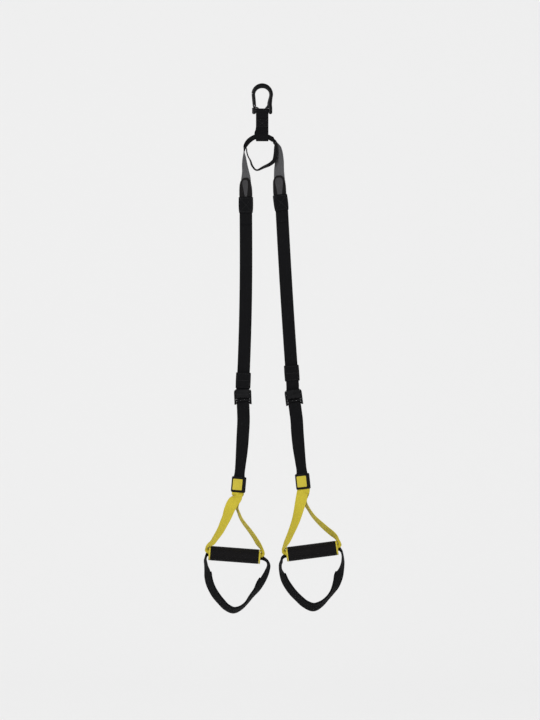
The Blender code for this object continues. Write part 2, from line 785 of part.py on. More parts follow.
def rounded_end(rows, width):
    """Rows whose first end is drawn in to a round end; each gets the share of the width left there."""
    start = rows[0][0]
    ended = []
    for point, side, face, curl in rows:
        reach = min(1.0, (point - start).length / (width / 2) + 0.12)
        ended.append((point, side * math.sqrt(1 - (1 - reach) ** 2), face, curl))
    return ended


def equalizer_arm(side, parent):
    """The grey webbing from the ring down into the sleeve, with the wear patch and its insert."""
    size = SIDES[side]
    steps = 3
    gap_angle = math.degrees(SWING_GAP / 2 / size["pivot_radius"])
    start = Vector(ring_point(size["pivot_angle"] - size["out"] * gap_angle, size["pivot_radius"]))
    foot = patch_frame(side)
    top = foot @ Vector((0, 0, PATCH_LENGTH + GAP))
    stations = [(*start, 90, 0)]
    for down, across, turn in ARM_SHARES[side]:
        x = start.x + (top.x - start.x) * across
        stations.append((x, 0, start.z + (top.z - start.z) * down, turn, 0))
    first = len(stations) * steps
    for share, turn_share in ((1, 1), (0.75, 0.8), (0.4, 0.3), (0, 0)):
        point = foot @ Vector((0, 0, GAP + PATCH_LENGTH * share))
        stations.append((*point, size["patch_turn"] * turn_share, 0))
    last = (len(stations) - 1) * steps
    for share in (0.9, 0.5):
        point = sleeve_frame(side) @ Vector((0, 0, SLEEVE_LENGTH * share + GAP / 2))
        stations.append((*point, 0, 0))
    rows = laid(stations, steps)
    ribbon(f"{side}_equalizer_arm", "grey_webbing", rows, parent, columns=2)
    patch = rows[first:last + 1]
    patch_out = WEB_THICKNESS / 2 + LAYER_GAP + PATCH_THICKNESS / 2
    ribbon(f"{side}_wear_patch", "black_rubber", rounded_end(shifted(patch, patch_out), PATCH_WIDTH), parent,
           PATCH_WIDTH, PATCH_THICKNESS, columns=2)
    insert_out = patch_out + PATCH_THICKNESS / 2 + LAYER_GAP + INSERT_THICKNESS / 2
    inner = rounded_end(shifted(patch[2:], insert_out), PATCH_WIDTH - 2 * PATCH_BORDER)
    count = len(inner)
    inner = [
        (point, across * (1 - INSERT_TAPER_SHARE * index / count), face, curl)
        for index, (point, across, face, curl) in enumerate(inner)
    ]
    ribbon(f"{side}_patch_insert", "grey_insert", inner, parent, PATCH_WIDTH - 2 * PATCH_BORDER,
           INSERT_THICKNESS, columns=2)


def top_sleeve(side, parent):
    """The folded sleeve over the joint of the grey webbing and the main strap."""
    middle = sleeve_frame(side) @ Matrix.Translation((0, 0, SLEEVE_LENGTH / 2))
    sleeve(f"{side}_top_sleeve", "black_webbing", (SLEEVE_WIDTH, SLEEVE_DEPTH, 0),
           (WEB_WIDTH + 2 * SLACK, WEB_THICKNESS + 2 * SLACK, 0), SLEEVE_LENGTH, middle, parent)


def main_strap(side, parent):
    """The long strap from the sleeve to the buckle."""
    size = SIDES[side]
    top = sleeve_frame(side) @ Vector((0, 0, SLEEVE_LENGTH / 2 - GAP / 2))
    stations = [(*top, 0, 0)]
    foot = size["strap_length"] - 3 * ANVIL_TOP / 2
    for share in (0, 0.06, 0.2, 0.4, 0.6, 0.8, 0.9, 1):
        stations.append((*strap_point(side, foot * share), 0, 0))
    for share in (1, 1 / 2):
        stations.append((*(buckle_frame(side) @ Vector((0, 0, ANVIL_TOP * share))), 0, 0))
    ribbon(f"{side}_main_strap", "black_webbing", laid(stations), parent, columns=2)


# Buckle

RETURN_DEPTH = WEB_THICKNESS + ANVIL_THICKNESS + 2 * GAP
PIN_DEPTH = RETURN_DEPTH + WEB_THICKNESS / 2 + GAP + CAM_RADIUS


def tab_frame(side):
    """The middle of a side's adjustment tab."""
    distance = SIDES[side]["strap_length"] - SIDES[side]["tab_height"]
    middle = strap_point(side, distance)
    return spot(middle.x, middle.z, strap_heading(side, distance), -RETURN_DEPTH / 2)


def adjustment_tab(side, parent):
    """The tab sewn to the strap's end, which slides on the main strap."""
    inner_depth = RETURN_DEPTH + WEB_THICKNESS + 2 * GAP
    sleeve(f"{side}_adjustment_tab", "black_webbing", (TAB_WIDTH, inner_depth + 2 * TAB_WALL, 0),
           (WEB_WIDTH + 4 * SLACK, inner_depth, 0), TAB_LENGTH, tab_frame(side), parent)


def strap_return(side, parent):
    """The strap's way down behind the anvil plate, round its foot and up in front to the tab."""
    at = buckle_frame(side)
    across = at.to_3x3() @ Vector((1, 0, 0))
    radius = RETURN_DEPTH / 2
    join = ANVIL_TOP / 2 - GAP
    points = [(0, join), (0, 0), (0, -ANVIL_FOOT)]
    points += [(y - radius, z - ANVIL_FOOT) for y, z in arc(0, 0, radius, 0, -180, 8)][1:]
    points += [(-RETURN_DEPTH, 0), (-RETURN_DEPTH, ANVIL_TOP)]
    path = [at @ Vector((0, y, z)) for y, z in points]
    tab = tab_frame(side)
    for share in (-0.5, 0.1):
        path.append(tab @ Vector((0, -RETURN_DEPTH / 2, TAB_LENGTH * share)))
    ribbon(f"{side}_strap_return", "black_webbing", folded(path, across), parent, columns=1)


def folded(path, across):
    """Rows of flat webbing along the points of a fold, with its width along one direction."""
    rows = []
    for index, point in enumerate(path):
        along = (path[min(index + 1, len(path) - 1)] - path[max(index - 1, 0)]).normalized()
        side = (across - across.project(along)).normalized()
        rows.append((point, side, side.cross(along), 0.0))
    return rows


def buckle_body(side, parent):
    """Two side plates joined by the anvil plate and the lower crossbar."""
    at = buckle_frame(side)
    profile = [
        (y * (PLATE_BACK if y > 0 else PLATE_FRONT), z * (PLATE_TOP if z > 0 else PLATE_FOOT))
        for y, z in PLATE_SHARES
    ]
    plates = []
    for way in (-1, 1):
        middle = way * (BUCKLE_INSIDE + PLATE_THICKNESS) / 2
        plate = outline(f"{side}_buckle_body" if way < 0 else f"{side}_plate", "black_metal",
                        (profile[::-1],), PLATE_THICKNESS, at @ Matrix.Translation((middle, 0, 0)) @ SIDE_PLANE,
                        parent, PLATE_BEVEL)
        plates.append(as_mesh(plate))
    body, other = plates
    combine(body, into_tool(other), "UNION")
    span = BUCKLE_INSIDE + PLATE_THICKNESS
    anvil = box_mesh("anvil", (span, ANVIL_THICKNESS, ANVIL_TOP + ANVIL_FOOT))
    anvil_at = Matrix.Translation((0, -RETURN_DEPTH / 2, (ANVIL_TOP - ANVIL_FOOT) / 2))
    combine(body, tool("anvil", anvil, at @ anvil_at), "UNION")
    bar = rod_mesh("crossbar", CROSSBAR_RADIUS, span)
    combine(body, tool("crossbar", bar, crossbar_frame(side) @ ALONG_X), "UNION")
    bore = rod_mesh("cam_bore", CAM_PIN_RADIUS + PIN_PLAY, span + 2 * PLATE_THICKNESS)
    combine(body, tool("cam_bore", bore, at @ Matrix.Translation((0, -PIN_DEPTH, 0)) @ ALONG_X))


def cam_lever(side, pin, body_pivot):
    """The thumb lever with its cam, and the pin and spring that it turns on."""
    front = [
        (-LEVER_DEPTH * y, z * (LEVER_TOP if z > 0 else LEVER_FOOT)) for y, z in LEVER_FRONT_SHARES
    ]
    cam = []
    for step in range(ARC_STEPS + 1):
        angle = -70 + 140 * step / ARC_STEPS
        radius = CAM_RADIUS * (1 - CAM_RELIEF_SHARE * max(0, angle) / 70)
        cam.append((radius * math.cos(math.radians(angle)), radius * math.sin(math.radians(angle))))
    inside_top, inside_foot = (front[0][0] + LEVER_LIP, front[0][1]), (front[-1][0] + LEVER_LIP, front[-1][1])
    at = place_of(pin)
    lever = as_mesh(outline(f"{side}_cam_lever", "black_metal",
                            ([inside_foot] + cam + [inside_top] + front, circle(CAM_PIN_RADIUS + PIN_PLAY)),
                            LEVER_WIDTH, at @ SIDE_PLANE, pin))
    pocket = box_mesh("pocket", (SPRING_POCKET, 3 * CAM_RADIUS, 1.3 * CAM_RADIUS))
    reach = 3 * CAM_RADIUS / 2 - 0.65 * CAM_RADIUS
    combine(lever, tool("pocket", pocket, at @ Matrix.Translation((0, reach, 0))))
    for way in (-1, 1):
        notch = box_mesh("notch", (NOTCH_WIDTH, 2 * LEVER_DEPTH, 2 * NOTCH_DEPTH))
        combine(lever, tool("notch", notch, at @ Matrix.Translation(
            (way * NOTCH_SPREAD, -LEVER_DEPTH / 2, -LEVER_FOOT))))
    span = BUCKLE_INSIDE + 2 * PLATE_THICKNESS
    add(f"{side}_cam_pin", rod_mesh(f"{side}_cam_pin", CAM_PIN_RADIUS, span), "steel", at @ ALONG_X, body_pivot)
    coil(f"{side}_cam_spring", "steel", CAM_PIN_RADIUS + GAP + SPRING_WIRE_RADIUS,
         SPRING_POCKET - 4 * GAP, CAM_SPRING_TURNS, at @ ALONG_X, body_pivot)


# Lower strap and label


def handle_strap(side, parent):
    """The lower strap: folded over the crossbar, sewn, and hanging down into the label box."""
    at = crossbar_frame(side)
    across = at.to_3x3() @ Vector((1, 0, 0))
    over = CROSSBAR_RADIUS + GAP + WEB_THICKNESS / 2
    layer = (WEB_THICKNESS + GAP) / 2
    back = [(layer, -HAIRPIN_LENGTH), (layer, -0.6 * HAIRPIN_LENGTH), (0.75 * over, -2 * over)]
    points = back + arc(0, 0, over, -12, 192, 8) + [(-y, z) for y, z in back[:0:-1]]
    hairpin = folded([at @ Vector((0, y, z)) for y, z in points], across)
    stations = []
    label = label_frame(side)
    stations.append((*(at @ Vector((0, -layer, -HAIRPIN_LENGTH))), 0))
    start = at @ Vector((0, -layer, -4 * HAIRPIN_LENGTH / 3))
    mouth = label @ Vector((0, 0, LABEL_LENGTH / 2 + 4 * WEB_THICKNESS))
    for share, turn in ((0, 0), (0.3, 5), (0.6, 14), (0.85, 20), (1, 8)):
        point = start.lerp(mouth, share)
        point.x += SIDES[side]["lower_bow"] * math.sin(math.pi * share)
        stations.append((*point, turn))
    for height in (LABEL_LENGTH / 2 + WEB_THICKNESS, LABEL_LENGTH / 4, WEB_THICKNESS - LABEL_LENGTH / 2):
        stations.append((*(label @ Vector((0, 0, height))), 0))
    rows = hairpin + laid([(*station, 0) for station in stations], 2, across)
    ribbon(f"{side}_handle_strap", "black_webbing", rows, parent, columns=2)


def label_box(side, parent):
    """The black box round the lower strap, with the yellow panel on its front."""
    at = label_frame(side)
    sleeve(f"{side}_label_wrap", "black_rubber", (LABEL_WIDTH, LABEL_DEPTH, 0),
           (WEB_WIDTH + 2 * SLACK, WEB_THICKNESS + 2 * SLACK, 0), LABEL_LENGTH, at, parent)
    out = LABEL_DEPTH / 2 + GAP + PANEL_THICKNESS / 2
    face = at @ Matrix.Translation((-PANEL_OFFSET, -out, 0)) @ FRONT_PLANE
    outline(f"{side}_label_panel", "yellow_plastic", (rounded_box(PANEL_WIDTH, PANEL_LENGTH, WRAP_ROUND),),
            PANEL_THICKNESS, face, parent)


# Handle and foot cradle

HALF_GRIP = GRIP_LENGTH / 2 + CAP_THICKNESS
REACH = HALF_GRIP + RIM_BEND
LOOP_ROLL = CAP_BORE - GAP - LOOP_WEB_THICKNESS / 2
CRADLE_ROLL = LOOP_ROLL - LOOP_WEB_THICKNESS / 2 - LAYER_GAP - WEB_THICKNESS / 2
LOOP_CURL = math.degrees(WEB_WIDTH / LOOP_ROLL)
CRADLE_CURL = math.degrees(WEB_WIDTH / CRADLE_ROLL)


def handle_loop(side, parent):
    """Yellow webbing from the label down to the grip, through its tube and back up."""
    label, grip = label_frame(side), grip_frame(side)
    layer = LOOP_WEB_THICKNESS / 2 + LAYER_GAP
    foot = -LABEL_LENGTH / 2 - GAP
    bend = LOOP_ROLL + RIM_BEND
    branches = {}
    for end, way in (("left", -1), ("right", 1)):
        start = label @ Vector((0, way * layer, foot))
        rim = grip @ Vector((way * REACH, 0, bend))
        stations = [(*start, 0, 0), (*(label @ Vector((0, way * layer, foot - LOOP_LEAD))), 4, 0)]
        for down, across, turn in BRANCH_SHARES[side][end]:
            parting = way * LOOP_PARTING * math.sin(math.pi * min(1, 2 * down))
            point = Vector((start.x + (rim.x - start.x) * across, start.y * (1 - down) + parting,
                            start.z + (rim.z - start.z) * down))
            stations.append((*point, turn, 0))
        stations.append((*rim, 90, 0.55 * LOOP_CURL))
        for angle in (45, 90):
            turn = math.radians(angle)
            point = grip @ Vector((way * (REACH - RIM_BEND * (1 - math.cos(turn))), 0,
                                   bend - RIM_BEND * math.sin(turn)))
            stations.append((*point, 90, LOOP_CURL))
        branches[end] = stations
    inside = [
        (*(grip @ Vector((HALF_GRIP * share, 0, LOOP_ROLL))), 90, LOOP_CURL) for share in (-0.97, 0.97)
    ]
    right = [(*row[:3], 180 - row[3], row[4]) for row in branches["right"]]
    rows = laid(branches["left"] + inside + right[::-1])
    ribbon(f"{side}_handle_loop", "yellow_webbing", rows, parent, thickness=LOOP_WEB_THICKNESS,
           columns=WEB_COLUMNS + 2)


def grip_parts(side, parent):
    """The grip tube, its rubber sleeve and the end caps, turned about the grip's axis."""
    axis = grip_frame(side) @ ALONG_X
    hub = CAP_BORE + CAP_HUB_WALL
    core_in, half = hub + GAP, GRIP_LENGTH / 2
    core_out = core_in + CORE_WALL
    turned(f"{side}_grip_core", "black_plastic",
           ((core_out, half), (core_out, -half), (core_in, -half), (core_in, half)), axis, parent)
    edge = EDGE_ROUND / 2
    rubber = (
        (GRIP_RADIUS - edge, half), (GRIP_RADIUS, half - edge), (GRIP_RADIUS, edge - half),
        (GRIP_RADIUS - edge, -half), (core_out + GAP, -half), (core_out + GAP, half),
    )
    turned(f"{side}_grip_sleeve", "black_rubber", rubber, axis, parent)
    foot, top = half + GAP, half + CAP_THICKNESS
    cap = (
        (GRIP_RADIUS - edge, top), (GRIP_RADIUS, top - edge), (GRIP_RADIUS, foot), (hub, foot),
        (hub, foot - CAP_HUB_LENGTH), (CAP_BORE, foot - CAP_HUB_LENGTH), (CAP_BORE, top),
    )
    for end, flip in (("right", 0), ("left", 180)):
        turned(f"{side}_{end}_cap", "yellow_plastic", cap, axis @ Matrix.Rotation(math.radians(flip), 4, "X"),
               parent)


def foot_cradle(side, parent):
    """Black webbing through the grip's tube and round below it, with a pad where the foot goes."""
    grip = grip_frame(side)
    bend = CRADLE_ROLL + RIM_BEND

    def at_end(way, angle):
        turn = math.radians(angle)
        return grip @ Vector((way * (REACH + CRADLE_LEAD - RIM_BEND * (1 - math.cos(turn))), 0,
                              RIM_BEND * math.sin(turn) - bend))

    stations = [(*(grip @ Vector((-HALF_GRIP * share, 0, -CRADLE_ROLL))), 90, CRADLE_CURL)
                for share in (0.03, 1)]
    stations += [(*at_end(-1, 90), 90, CRADLE_CURL), (*at_end(-1, 45), 90, CRADLE_CURL),
                 (*at_end(-1, 0), 90, 0.6 * CRADLE_CURL)]
    first = len(stations)
    for across, down, turn in CRADLE_SHARES[side]:
        stations.append((*(grip @ Vector((REACH * across, 0, -CRADLE_DROP * down))), turn, 0))
    stations += [(*at_end(1, 0), 90, 0.6 * CRADLE_CURL), (*at_end(1, 45), 90, CRADLE_CURL),
                 (*at_end(1, 90), 90, CRADLE_CURL)]
    stations += [(*(grip @ Vector((HALF_GRIP * share, 0, -CRADLE_ROLL))), 90, CRADLE_CURL)
                 for share in (1, 0.03)]
    rows = laid(stations)
    ribbon(f"{side}_foot_cradle", "black_webbing", rows, parent)
    start, end = (2 * (first + station) for station in PAD_STATIONS[side])
    inward = -(WEB_THICKNESS / 2 + LAYER_GAP + PAD_THICKNESS / 2)
    ribbon(f"{side}_cradle_pad", "black_webbing", shifted(rows[start:end + 1], inward), parent,
           PAD_WIDTH, PAD_THICKNESS)


def arm(side, ring):
    """One arm, from the equalizer's side down to the foot cradle."""
    size = SIDES[side]
    point = ring_point(size["pivot_angle"], size["pivot_radius"])
    spread = pivot(f"{side}_spread", spot(point[0], point[2]), ring)
    equalizer_arm(side, spread)
    top_sleeve(side, spread)
    swing = pivot(f"{side}_swing", sleeve_frame(side), spread)
    main_strap(side, swing)
    slide = pivot(f"{side}_buckle_slide", buckle_frame(side), swing)
    buckle_body(side, slide)
    strap_return(side, slide)
    lever = pivot(f"{side}_lever_press", buckle_frame(side) @ Matrix.Translation((0, -PIN_DEPTH, 0)), slide)
    cam_lever(side, lever, slide)
    adjustment_tab(side, pivot(f"{side}_tab_slide", tab_frame(side), slide))
    lower = pivot(f"{side}_lower_swing", crossbar_frame(side), slide)
    handle_strap(side, lower)
    label_box(side, lower)
    foot = label_frame(side) @ Matrix.Translation((0, 0, -LABEL_LENGTH / 2))
    twist = pivot(f"{side}_handle_twist", foot, lower)
    handle_loop(side, twist)
    grip_parts(side, pivot(f"{side}_grip_spin", grip_frame(side), twist))
    foot_cradle(side, pivot(f"{side}_cradle_swing", grip_frame(side), twist))


clear_scene()
parts = new_collection(OBJECT)
cutters = new_collection("cutters")
hanger = pivot("hanger", Matrix.Identity(4))
carabiner_frame(hanger)
carabiner_gate(pivot("gate_swing", spot(-GATE_PIVOT_SIDE, -GATE_PIVOT_DROP), hanger))
anchor = pivot("anchor_swing", spot(0, -BAR_DROP), hanger)
anchor_strap(anchor)
ring_pivot = pivot("equalizer_slip", spot(RING_X, -RING_DROP), anchor)
equalizer_crown(ring_pivot)
stabilizing_loop(ring_pivot)
for arm_side in SIDES:
    arm(arm_side, ring_pivot)
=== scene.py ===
"""Suspension trainer: webbing, metal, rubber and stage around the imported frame.

Metres. +X is to the right in the front view, +Y points away from the viewer and +Z is up.
"""
import math

import bmesh
import bpy
import numpy as np
from mathutils import Matrix, Vector


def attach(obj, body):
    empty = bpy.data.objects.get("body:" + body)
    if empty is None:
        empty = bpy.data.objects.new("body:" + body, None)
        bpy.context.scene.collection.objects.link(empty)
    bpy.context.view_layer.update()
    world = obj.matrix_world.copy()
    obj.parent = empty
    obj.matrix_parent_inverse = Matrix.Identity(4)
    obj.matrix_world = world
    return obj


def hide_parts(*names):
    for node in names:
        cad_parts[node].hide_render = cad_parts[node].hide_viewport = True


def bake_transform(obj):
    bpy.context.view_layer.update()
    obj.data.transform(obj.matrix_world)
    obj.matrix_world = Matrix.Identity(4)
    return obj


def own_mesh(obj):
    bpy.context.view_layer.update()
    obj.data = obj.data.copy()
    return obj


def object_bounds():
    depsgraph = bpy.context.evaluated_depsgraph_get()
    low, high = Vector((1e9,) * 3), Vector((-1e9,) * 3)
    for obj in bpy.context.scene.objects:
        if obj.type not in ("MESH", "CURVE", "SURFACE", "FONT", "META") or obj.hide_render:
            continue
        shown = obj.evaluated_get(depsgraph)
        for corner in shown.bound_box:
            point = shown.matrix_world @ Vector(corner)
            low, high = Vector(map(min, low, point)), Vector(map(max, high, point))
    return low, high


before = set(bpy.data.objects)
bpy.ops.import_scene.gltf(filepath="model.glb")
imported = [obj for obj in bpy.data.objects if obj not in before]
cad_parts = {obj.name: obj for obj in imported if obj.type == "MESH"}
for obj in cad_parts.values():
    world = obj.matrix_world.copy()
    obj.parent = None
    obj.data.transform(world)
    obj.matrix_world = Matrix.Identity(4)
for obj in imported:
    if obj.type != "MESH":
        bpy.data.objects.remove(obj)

CAD_BOX = [list(corner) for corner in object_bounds()]

bl_info = {
    "name": "Suspension Trainer",
    "version": (1, 0, 0),
    "blender": (4, 5, 0),
    "location": "View3D > Sidebar > Trainer",
    "description": "Builds the webbing, buckles, handles and stage of a suspension trainer",
    "category": "Object",
}

# Webbing and fits
GAP = 0.0003
WEB_WIDTH = 0.038
STRAP_WIDTH = 0.0395
WEB_THICKNESS = 0.002
STRAP_OPENING = (STRAP_WIDTH + 0.001, WEB_THICKNESS + 0.0012)
LOOP_WEB_THICKNESS = 0.0018
LAYER_GAP = 0.0009
SWING_GAP = 0.0012
SHORTEST_BLEND = 0.006
NECK_LENGTH = 0.035

# Carabiner
BOW_RADIUS = 0.028
BOW_TOP_HALF = 0.0077
LIMB_HALF = 0.006
FRAME_THICKNESS = 0.010
BAR_DROP = 0.0705
BAR_RADIUS = 0.005
EAR_LENGTH = 0.012
GUSSET_BEVEL = 0.0008
NOSE_ANGLE = 172
SLIP_ANGLE = 5
GATE_THICKNESS = 0.009
GATE_HALF = 0.0056
GATE_GAP = 0.0006
GATE_PIVOT_DROP = 0.0555
GATE_PIVOT_SIDE = 0.0242
GATE_FORK_LENGTH = 0.02
TANG_RADIUS = 0.0042
TANG_THICKNESS = 0.003
FORGED_SQUARENESS = 2.8
FORGED_SIDES = 28
FORGED_CAP_STEPS = 5
FORGED_FLAT_REACH = 0.06
FORGED_ROUND_REACH = 0.8

# Anchor strap and equalizer
ROLL_RADIUS = 0.007
RING_X = -0.0019
RING_DROP = 0.2041
RING_RADIUS = 0.056
CROWN_RADIUS = 0.049
STITCH_THICKNESS = 0.0018
STITCH_START = 0.026
STITCH_LENGTH = 0.046
ANCHOR_WIDTH = 0.039
ANCHOR_FLARE = 0.005
ANCHOR_FLARE_DROP = 0.1425
ANCHOR_FLARE_REACH = 0.0115
FOLD_SLACK = 0.0025
ANCHOR_BOX = (0.032, 0.0028)
CROWN_SEAM_HALF = 0.015
CROWN_SEAM_INSETS = (0.004, 0.0065)
ARM_LAP = 0.0025
LOCK_WIDTH = 0.020
LOCK_THICKNESS = 0.0015

# Patch and sleeves
PATCH_WIDTH = 0.041
PATCH_LENGTH = 0.059
PATCH_THICKNESS = 0.0028
INSERT_THICKNESS = 0.0018
SLEEVE_WIDTH = 0.045
SLEEVE_LENGTH = 0.051
SLEEVE_DEPTH = 0.010
SLEEVE_BOX = (0.037, 0.0045)
SLEEVE_THREAD_LIFT = 0.0007

# Buckle
BUCKLE_INSIDE = 0.045
PLATE_THICKNESS = 0.0045
PLATE_FRONT = 0.0165
PLATE_BACK = 0.0048
PLATE_TOP = 0.0150
PLATE_FOOT = 0.034
PLATE_BEVEL = 0.0012
PLATE_CORNER = 0.005
THIN_BEVEL = 0.0003
LEVER_BEVEL = 0.0006
ANVIL_THICKNESS = 0.002
ANVIL_TOP = 0.017
ANVIL_FOOT = 0.0165
CAM_RADIUS = 0.0062
CAM_PIN_RADIUS = 0.002
LEVER_WIDTH = 0.0436
LEVER_TOP = 0.0150
LEVER_FOOT = 0.0130
LEVER_DEPTH = 0.0066
LEVER_LIP = 0.0014
NOTCH_WIDTH = 0.004
NOTCH_DEPTH = 0.0025
NOTCH_SPREAD = 0.006
SPRING_POCKET = 0.010
CROSSBAR_DROP = 0.0285
CROSSBAR_RADIUS = 0.003
CAM_RELIEF_SHARE = 0.2
CAM_HALF_TURN = 70
CAM_STEPS = 18
SKIRT_TOP = 0.0168
SKIRT_FOOT = 0.0236
SKIRT_DEPTH = 0.0083
SKIRT_THICKNESS = 0.0015
SKIRT_NOTCH = 0.003
SKIRT_NOTCH_SPREAD = 0.007
SHOULDER_RADIUS = 0.009

# Adjustment tab and label
TAB_WIDTH = 0.046
TAB_LENGTH = 0.0495
TAB_WALL = 0.0024
TAB_SLACK = 0.0035
TAB_BOX = (0.038, 0.004)
TAB_THREAD_LIFT = 0.0005
HAIRPIN_LENGTH = 0.034
HAIRPIN_BOX = (0.031, 0.001, 0.019)
LABEL_WIDTH = 0.0452
LABEL_LENGTH = 0.049
LABEL_DEPTH = 0.0088
PANEL_WIDTH = 0.0295
PANEL_LENGTH = 0.0345
PANEL_THICKNESS = 0.001
PANEL_OFFSET = 0.0036
PANEL_CORNER = 0.0022
PANEL_BEVEL = 0.0004

# Handle and foot cradle
GRIP_RADIUS = 0.0226
GRIP_LENGTH = 0.151
GRIP_EDGE = 0.0016
CAP_THICKNESS = 0.0055
CAP_EDGE = 0.0018
MOUTH_EDGE = 0.0008
CAP_BORE = 0.0127
CAP_HUB_WALL = 0.0015
CAP_HUB_LENGTH = 0.014
CORE_WALL = 0.0022
RIM_BEND = 0.003
LOOP_BEND = 0.0014
RIM_RISE = 0.007
LOOP_PARTING = 0.006
CRADLE_DROP = 0.176
PAD_WIDTH = 0.042
PAD_THICKNESS = 0.0035

# Threads, bars and turned forms
THREAD_SIDES = 6
ROD_SIDES = 28
ROD_EDGE = 0.0004
LATHE_STEPS = 96

# Stage
FLOOR_DROP = 0.42
BACKDROP_DEPTH = 2.0
SWEEP_RADIUS = 0.8
STAGE_REACH = 9.0
CAMERA_SIDE = 0.0244
CAMERA_DROP = 0.8494

# Sizes of each arm, for the left and for the right, in metres and degrees
ARM_SIZES = {
    "out": (-1, 1),
    "pivot_angle": (170, 39.5),
    "pivot_radius": (0.0538, 0.0562),
    "sleeve_side": (-0.0491, 0.0634),
    "sleeve_drop": (0.1866, 0.1791),
    "sleeve_lean": (0, 7.0),
    "patch_lean": (0, 2.0),
    "patch_turn": (40, 30),
    "strap_length": (0.5641, 0.5742),
    "strap_lean": (-1.0, 3.57),
    "strap_bow": (0.0042, -0.0016),
    "tab_height": (0.04125, 0.0661),
    "buckle_lean": (2.0, 7.5),
    "label_side": (-0.0138, 0.0259),
    "label_drop": (0.2553, 0.2441),
    "label_lean": (-5.0, 6.0),
    "lower_bow": (0.002, -0.002),
    "grip_side": (-0.0125, 0.0288),
    "grip_drop": (0.2200, 0.2180),
    "grip_tilt": (-4.3, 7.4),
}
SIDES = {side: {key: pair[index] for key, pair in ARM_SIZES.items()}
         for index, side in enumerate(("left", "right"))}

# A stitch along its length: a share of the way, and its rise and width as shares of the thread's radius
STITCH_SHAPE = ((0, -0.9, 0.5), (0.14, 0.1, 0.95), (0.5, 0.35, 1.0), (0.86, 0.1, 0.95), (1, -0.9, 0.5))

# Shares of the bow's radius, of the bar's drop and of the limb's half width, down the spine
SPINE_SHARES = ((0.945, 0.425, 1.0), (0.87, 0.58, 1.15), (0.83, 0.71, 1.22))

# Shares of the way from the ring's side down to the patch, and of the way across; turns in degrees
ARM_SHARES = {
    "left": ((0.13, -0.43, 82), (0.24, -0.32, 75), (0.46, -0.07, 66), (0.79, 0.71, 54)),
    "right": ((0.18, 0.84, 66), (0.27, 0.93, 58), (0.44, 1.0, 48), (0.62, 1.04, 42), (0.80, 0.96, 36)),
}

# Shares of the way down from the label to the grip's end, and of the way out; turns in degrees
BRANCH_SHARES = {
    "left": {
        "left": ((0.042, 0.0, 32), (0.093, 0.02, 40), (0.172, 0.16, 22), (0.283, 0.275, 27),
                 (0.457, 0.40, 42), (0.551, 0.485, 48), (0.662, 0.585, 54), (0.804, 0.76, 62),
                 (0.90, 0.895, 68)),
        "right": ((0.042, -0.01, 32), (0.16, -0.06, 60), (0.264, -0.045, 75), (0.337, 0.026, 75),
                  (0.43, 0.125, 73), (0.52, 0.28, 70), (0.617, 0.477, 68), (0.75, 0.72, 66),
                  (0.87, 0.91, 66)),
    },
    "right": {
        "left": ((0.042, 0.04, 14), (0.16, 0.13, 22), (0.32, 0.26, 38), (0.51, 0.43, 50),
                 (0.71, 0.69, 60), (0.88, 0.95, 68)),
        "right": ((0.042, 0.0, 10), (0.20, 0.0, 58), (0.36, 0.14, 74), (0.47, 0.255, 72),
                  (0.69, 0.60, 63), (0.87, 0.93, 66)),
    },
}

# Shares of the grip's half length and of the cradle's drop; turns in degrees
CRADLE_SHARES = {
    "left": ((-1.05, 0.14, 74), (-1.03, 0.22, 70), (-0.965, 0.33, 58), (-0.93, 0.435, 54),
             (-0.86, 0.54, 52), (-0.74, 0.65, 52), (-0.59, 0.75, 51), (-0.39, 0.85, 53),
             (-0.16, 0.945, 54), (0.11, 0.99, 56), (0.37, 0.94, 68), (0.55, 0.86, 75),
             (0.77, 0.70, 70), (0.94, 0.585, 63), (1.05, 0.47, 55), (1.16, 0.36, 58),
             (1.25, 0.245, 65), (1.27, 0.14, 74)),
    "right": ((-1.15, 0.10, 80), (-1.23, 0.16, 78), (-1.25, 0.23, 76), (-1.21, 0.34, 63),
              (-1.16, 0.455, 57), (-1.06, 0.57, 54), (-0.92, 0.69, 53), (-0.73, 0.81, 53),
              (-0.51, 0.925, 50), (-0.20, 1.0, 46), (0.06, 0.965, 58), (0.34, 0.875, 70),
              (0.555, 0.78, 68), (0.715, 0.68, 57), (0.82, 0.58, 50), (0.90, 0.475, 46),
              (1.01, 0.37, 62), (1.08, 0.27, 72), (1.09, 0.15, 80)),
}
# The first and last of those stations that the pad covers
PAD_STATIONS = {"left": (2, 14.75), "right": (2.875, 15.375)}

# Where the stabilizing loop's ends are sewn on, as shares of the crown's sides, and its path:
# shares of the ring's radius at angles in degrees, with turns in degrees
LOCK_SHARES = {
    "left": 0.84,
    "right": 0.82,
    "path": ((0.83, 174, 99), (0.76, 195, 101), (0.74, 212, 104), (0.865, 233, 108),
             (0.97, 251, 108), (0.765, 280, 120), (0.765, 313, 128), (0.80, 331, 130), (0.76, 354, 122),
             (0.835, 22, 116), (0.93, 33, 112)),
}

# Widths of the patch's insert at its top and foot, as shares of the patch's width
INSERT_SHARES = {"left": (0.62, 0.15), "right": (0.76, 0.33)}

# The gussets at the feet of the carabiner's gate and spine, in the front plane
GUSSETS = {
    "left": ((-0.0205, -0.0628), (-0.0205, -0.0615), (-0.0186, -0.0590), (-0.0172, -0.0574),
             (-0.0146, -0.0593), (-0.0115, -0.0612), (-0.0095, -0.0628)),
    "right": ((0.0240, -0.0628), (0.0085, -0.0628), (0.0098, -0.0608), (0.0126, -0.0582),
              (0.0152, -0.0545), (0.0170, -0.0500), (0.0182, -0.0440), (0.0240, -0.0440)),
}

# Shares of the lever's front depth, measured towards the viewer, and of its top or foot height
LEVER_FRONT_SHARES = ((0.30, 1.0), (0.52, 0.92), (0.80, 0.62), (0.97, 0.30), (1.0, 0.0),
                      (0.95, -0.40), (0.80, -0.80), (0.62, -1.0))

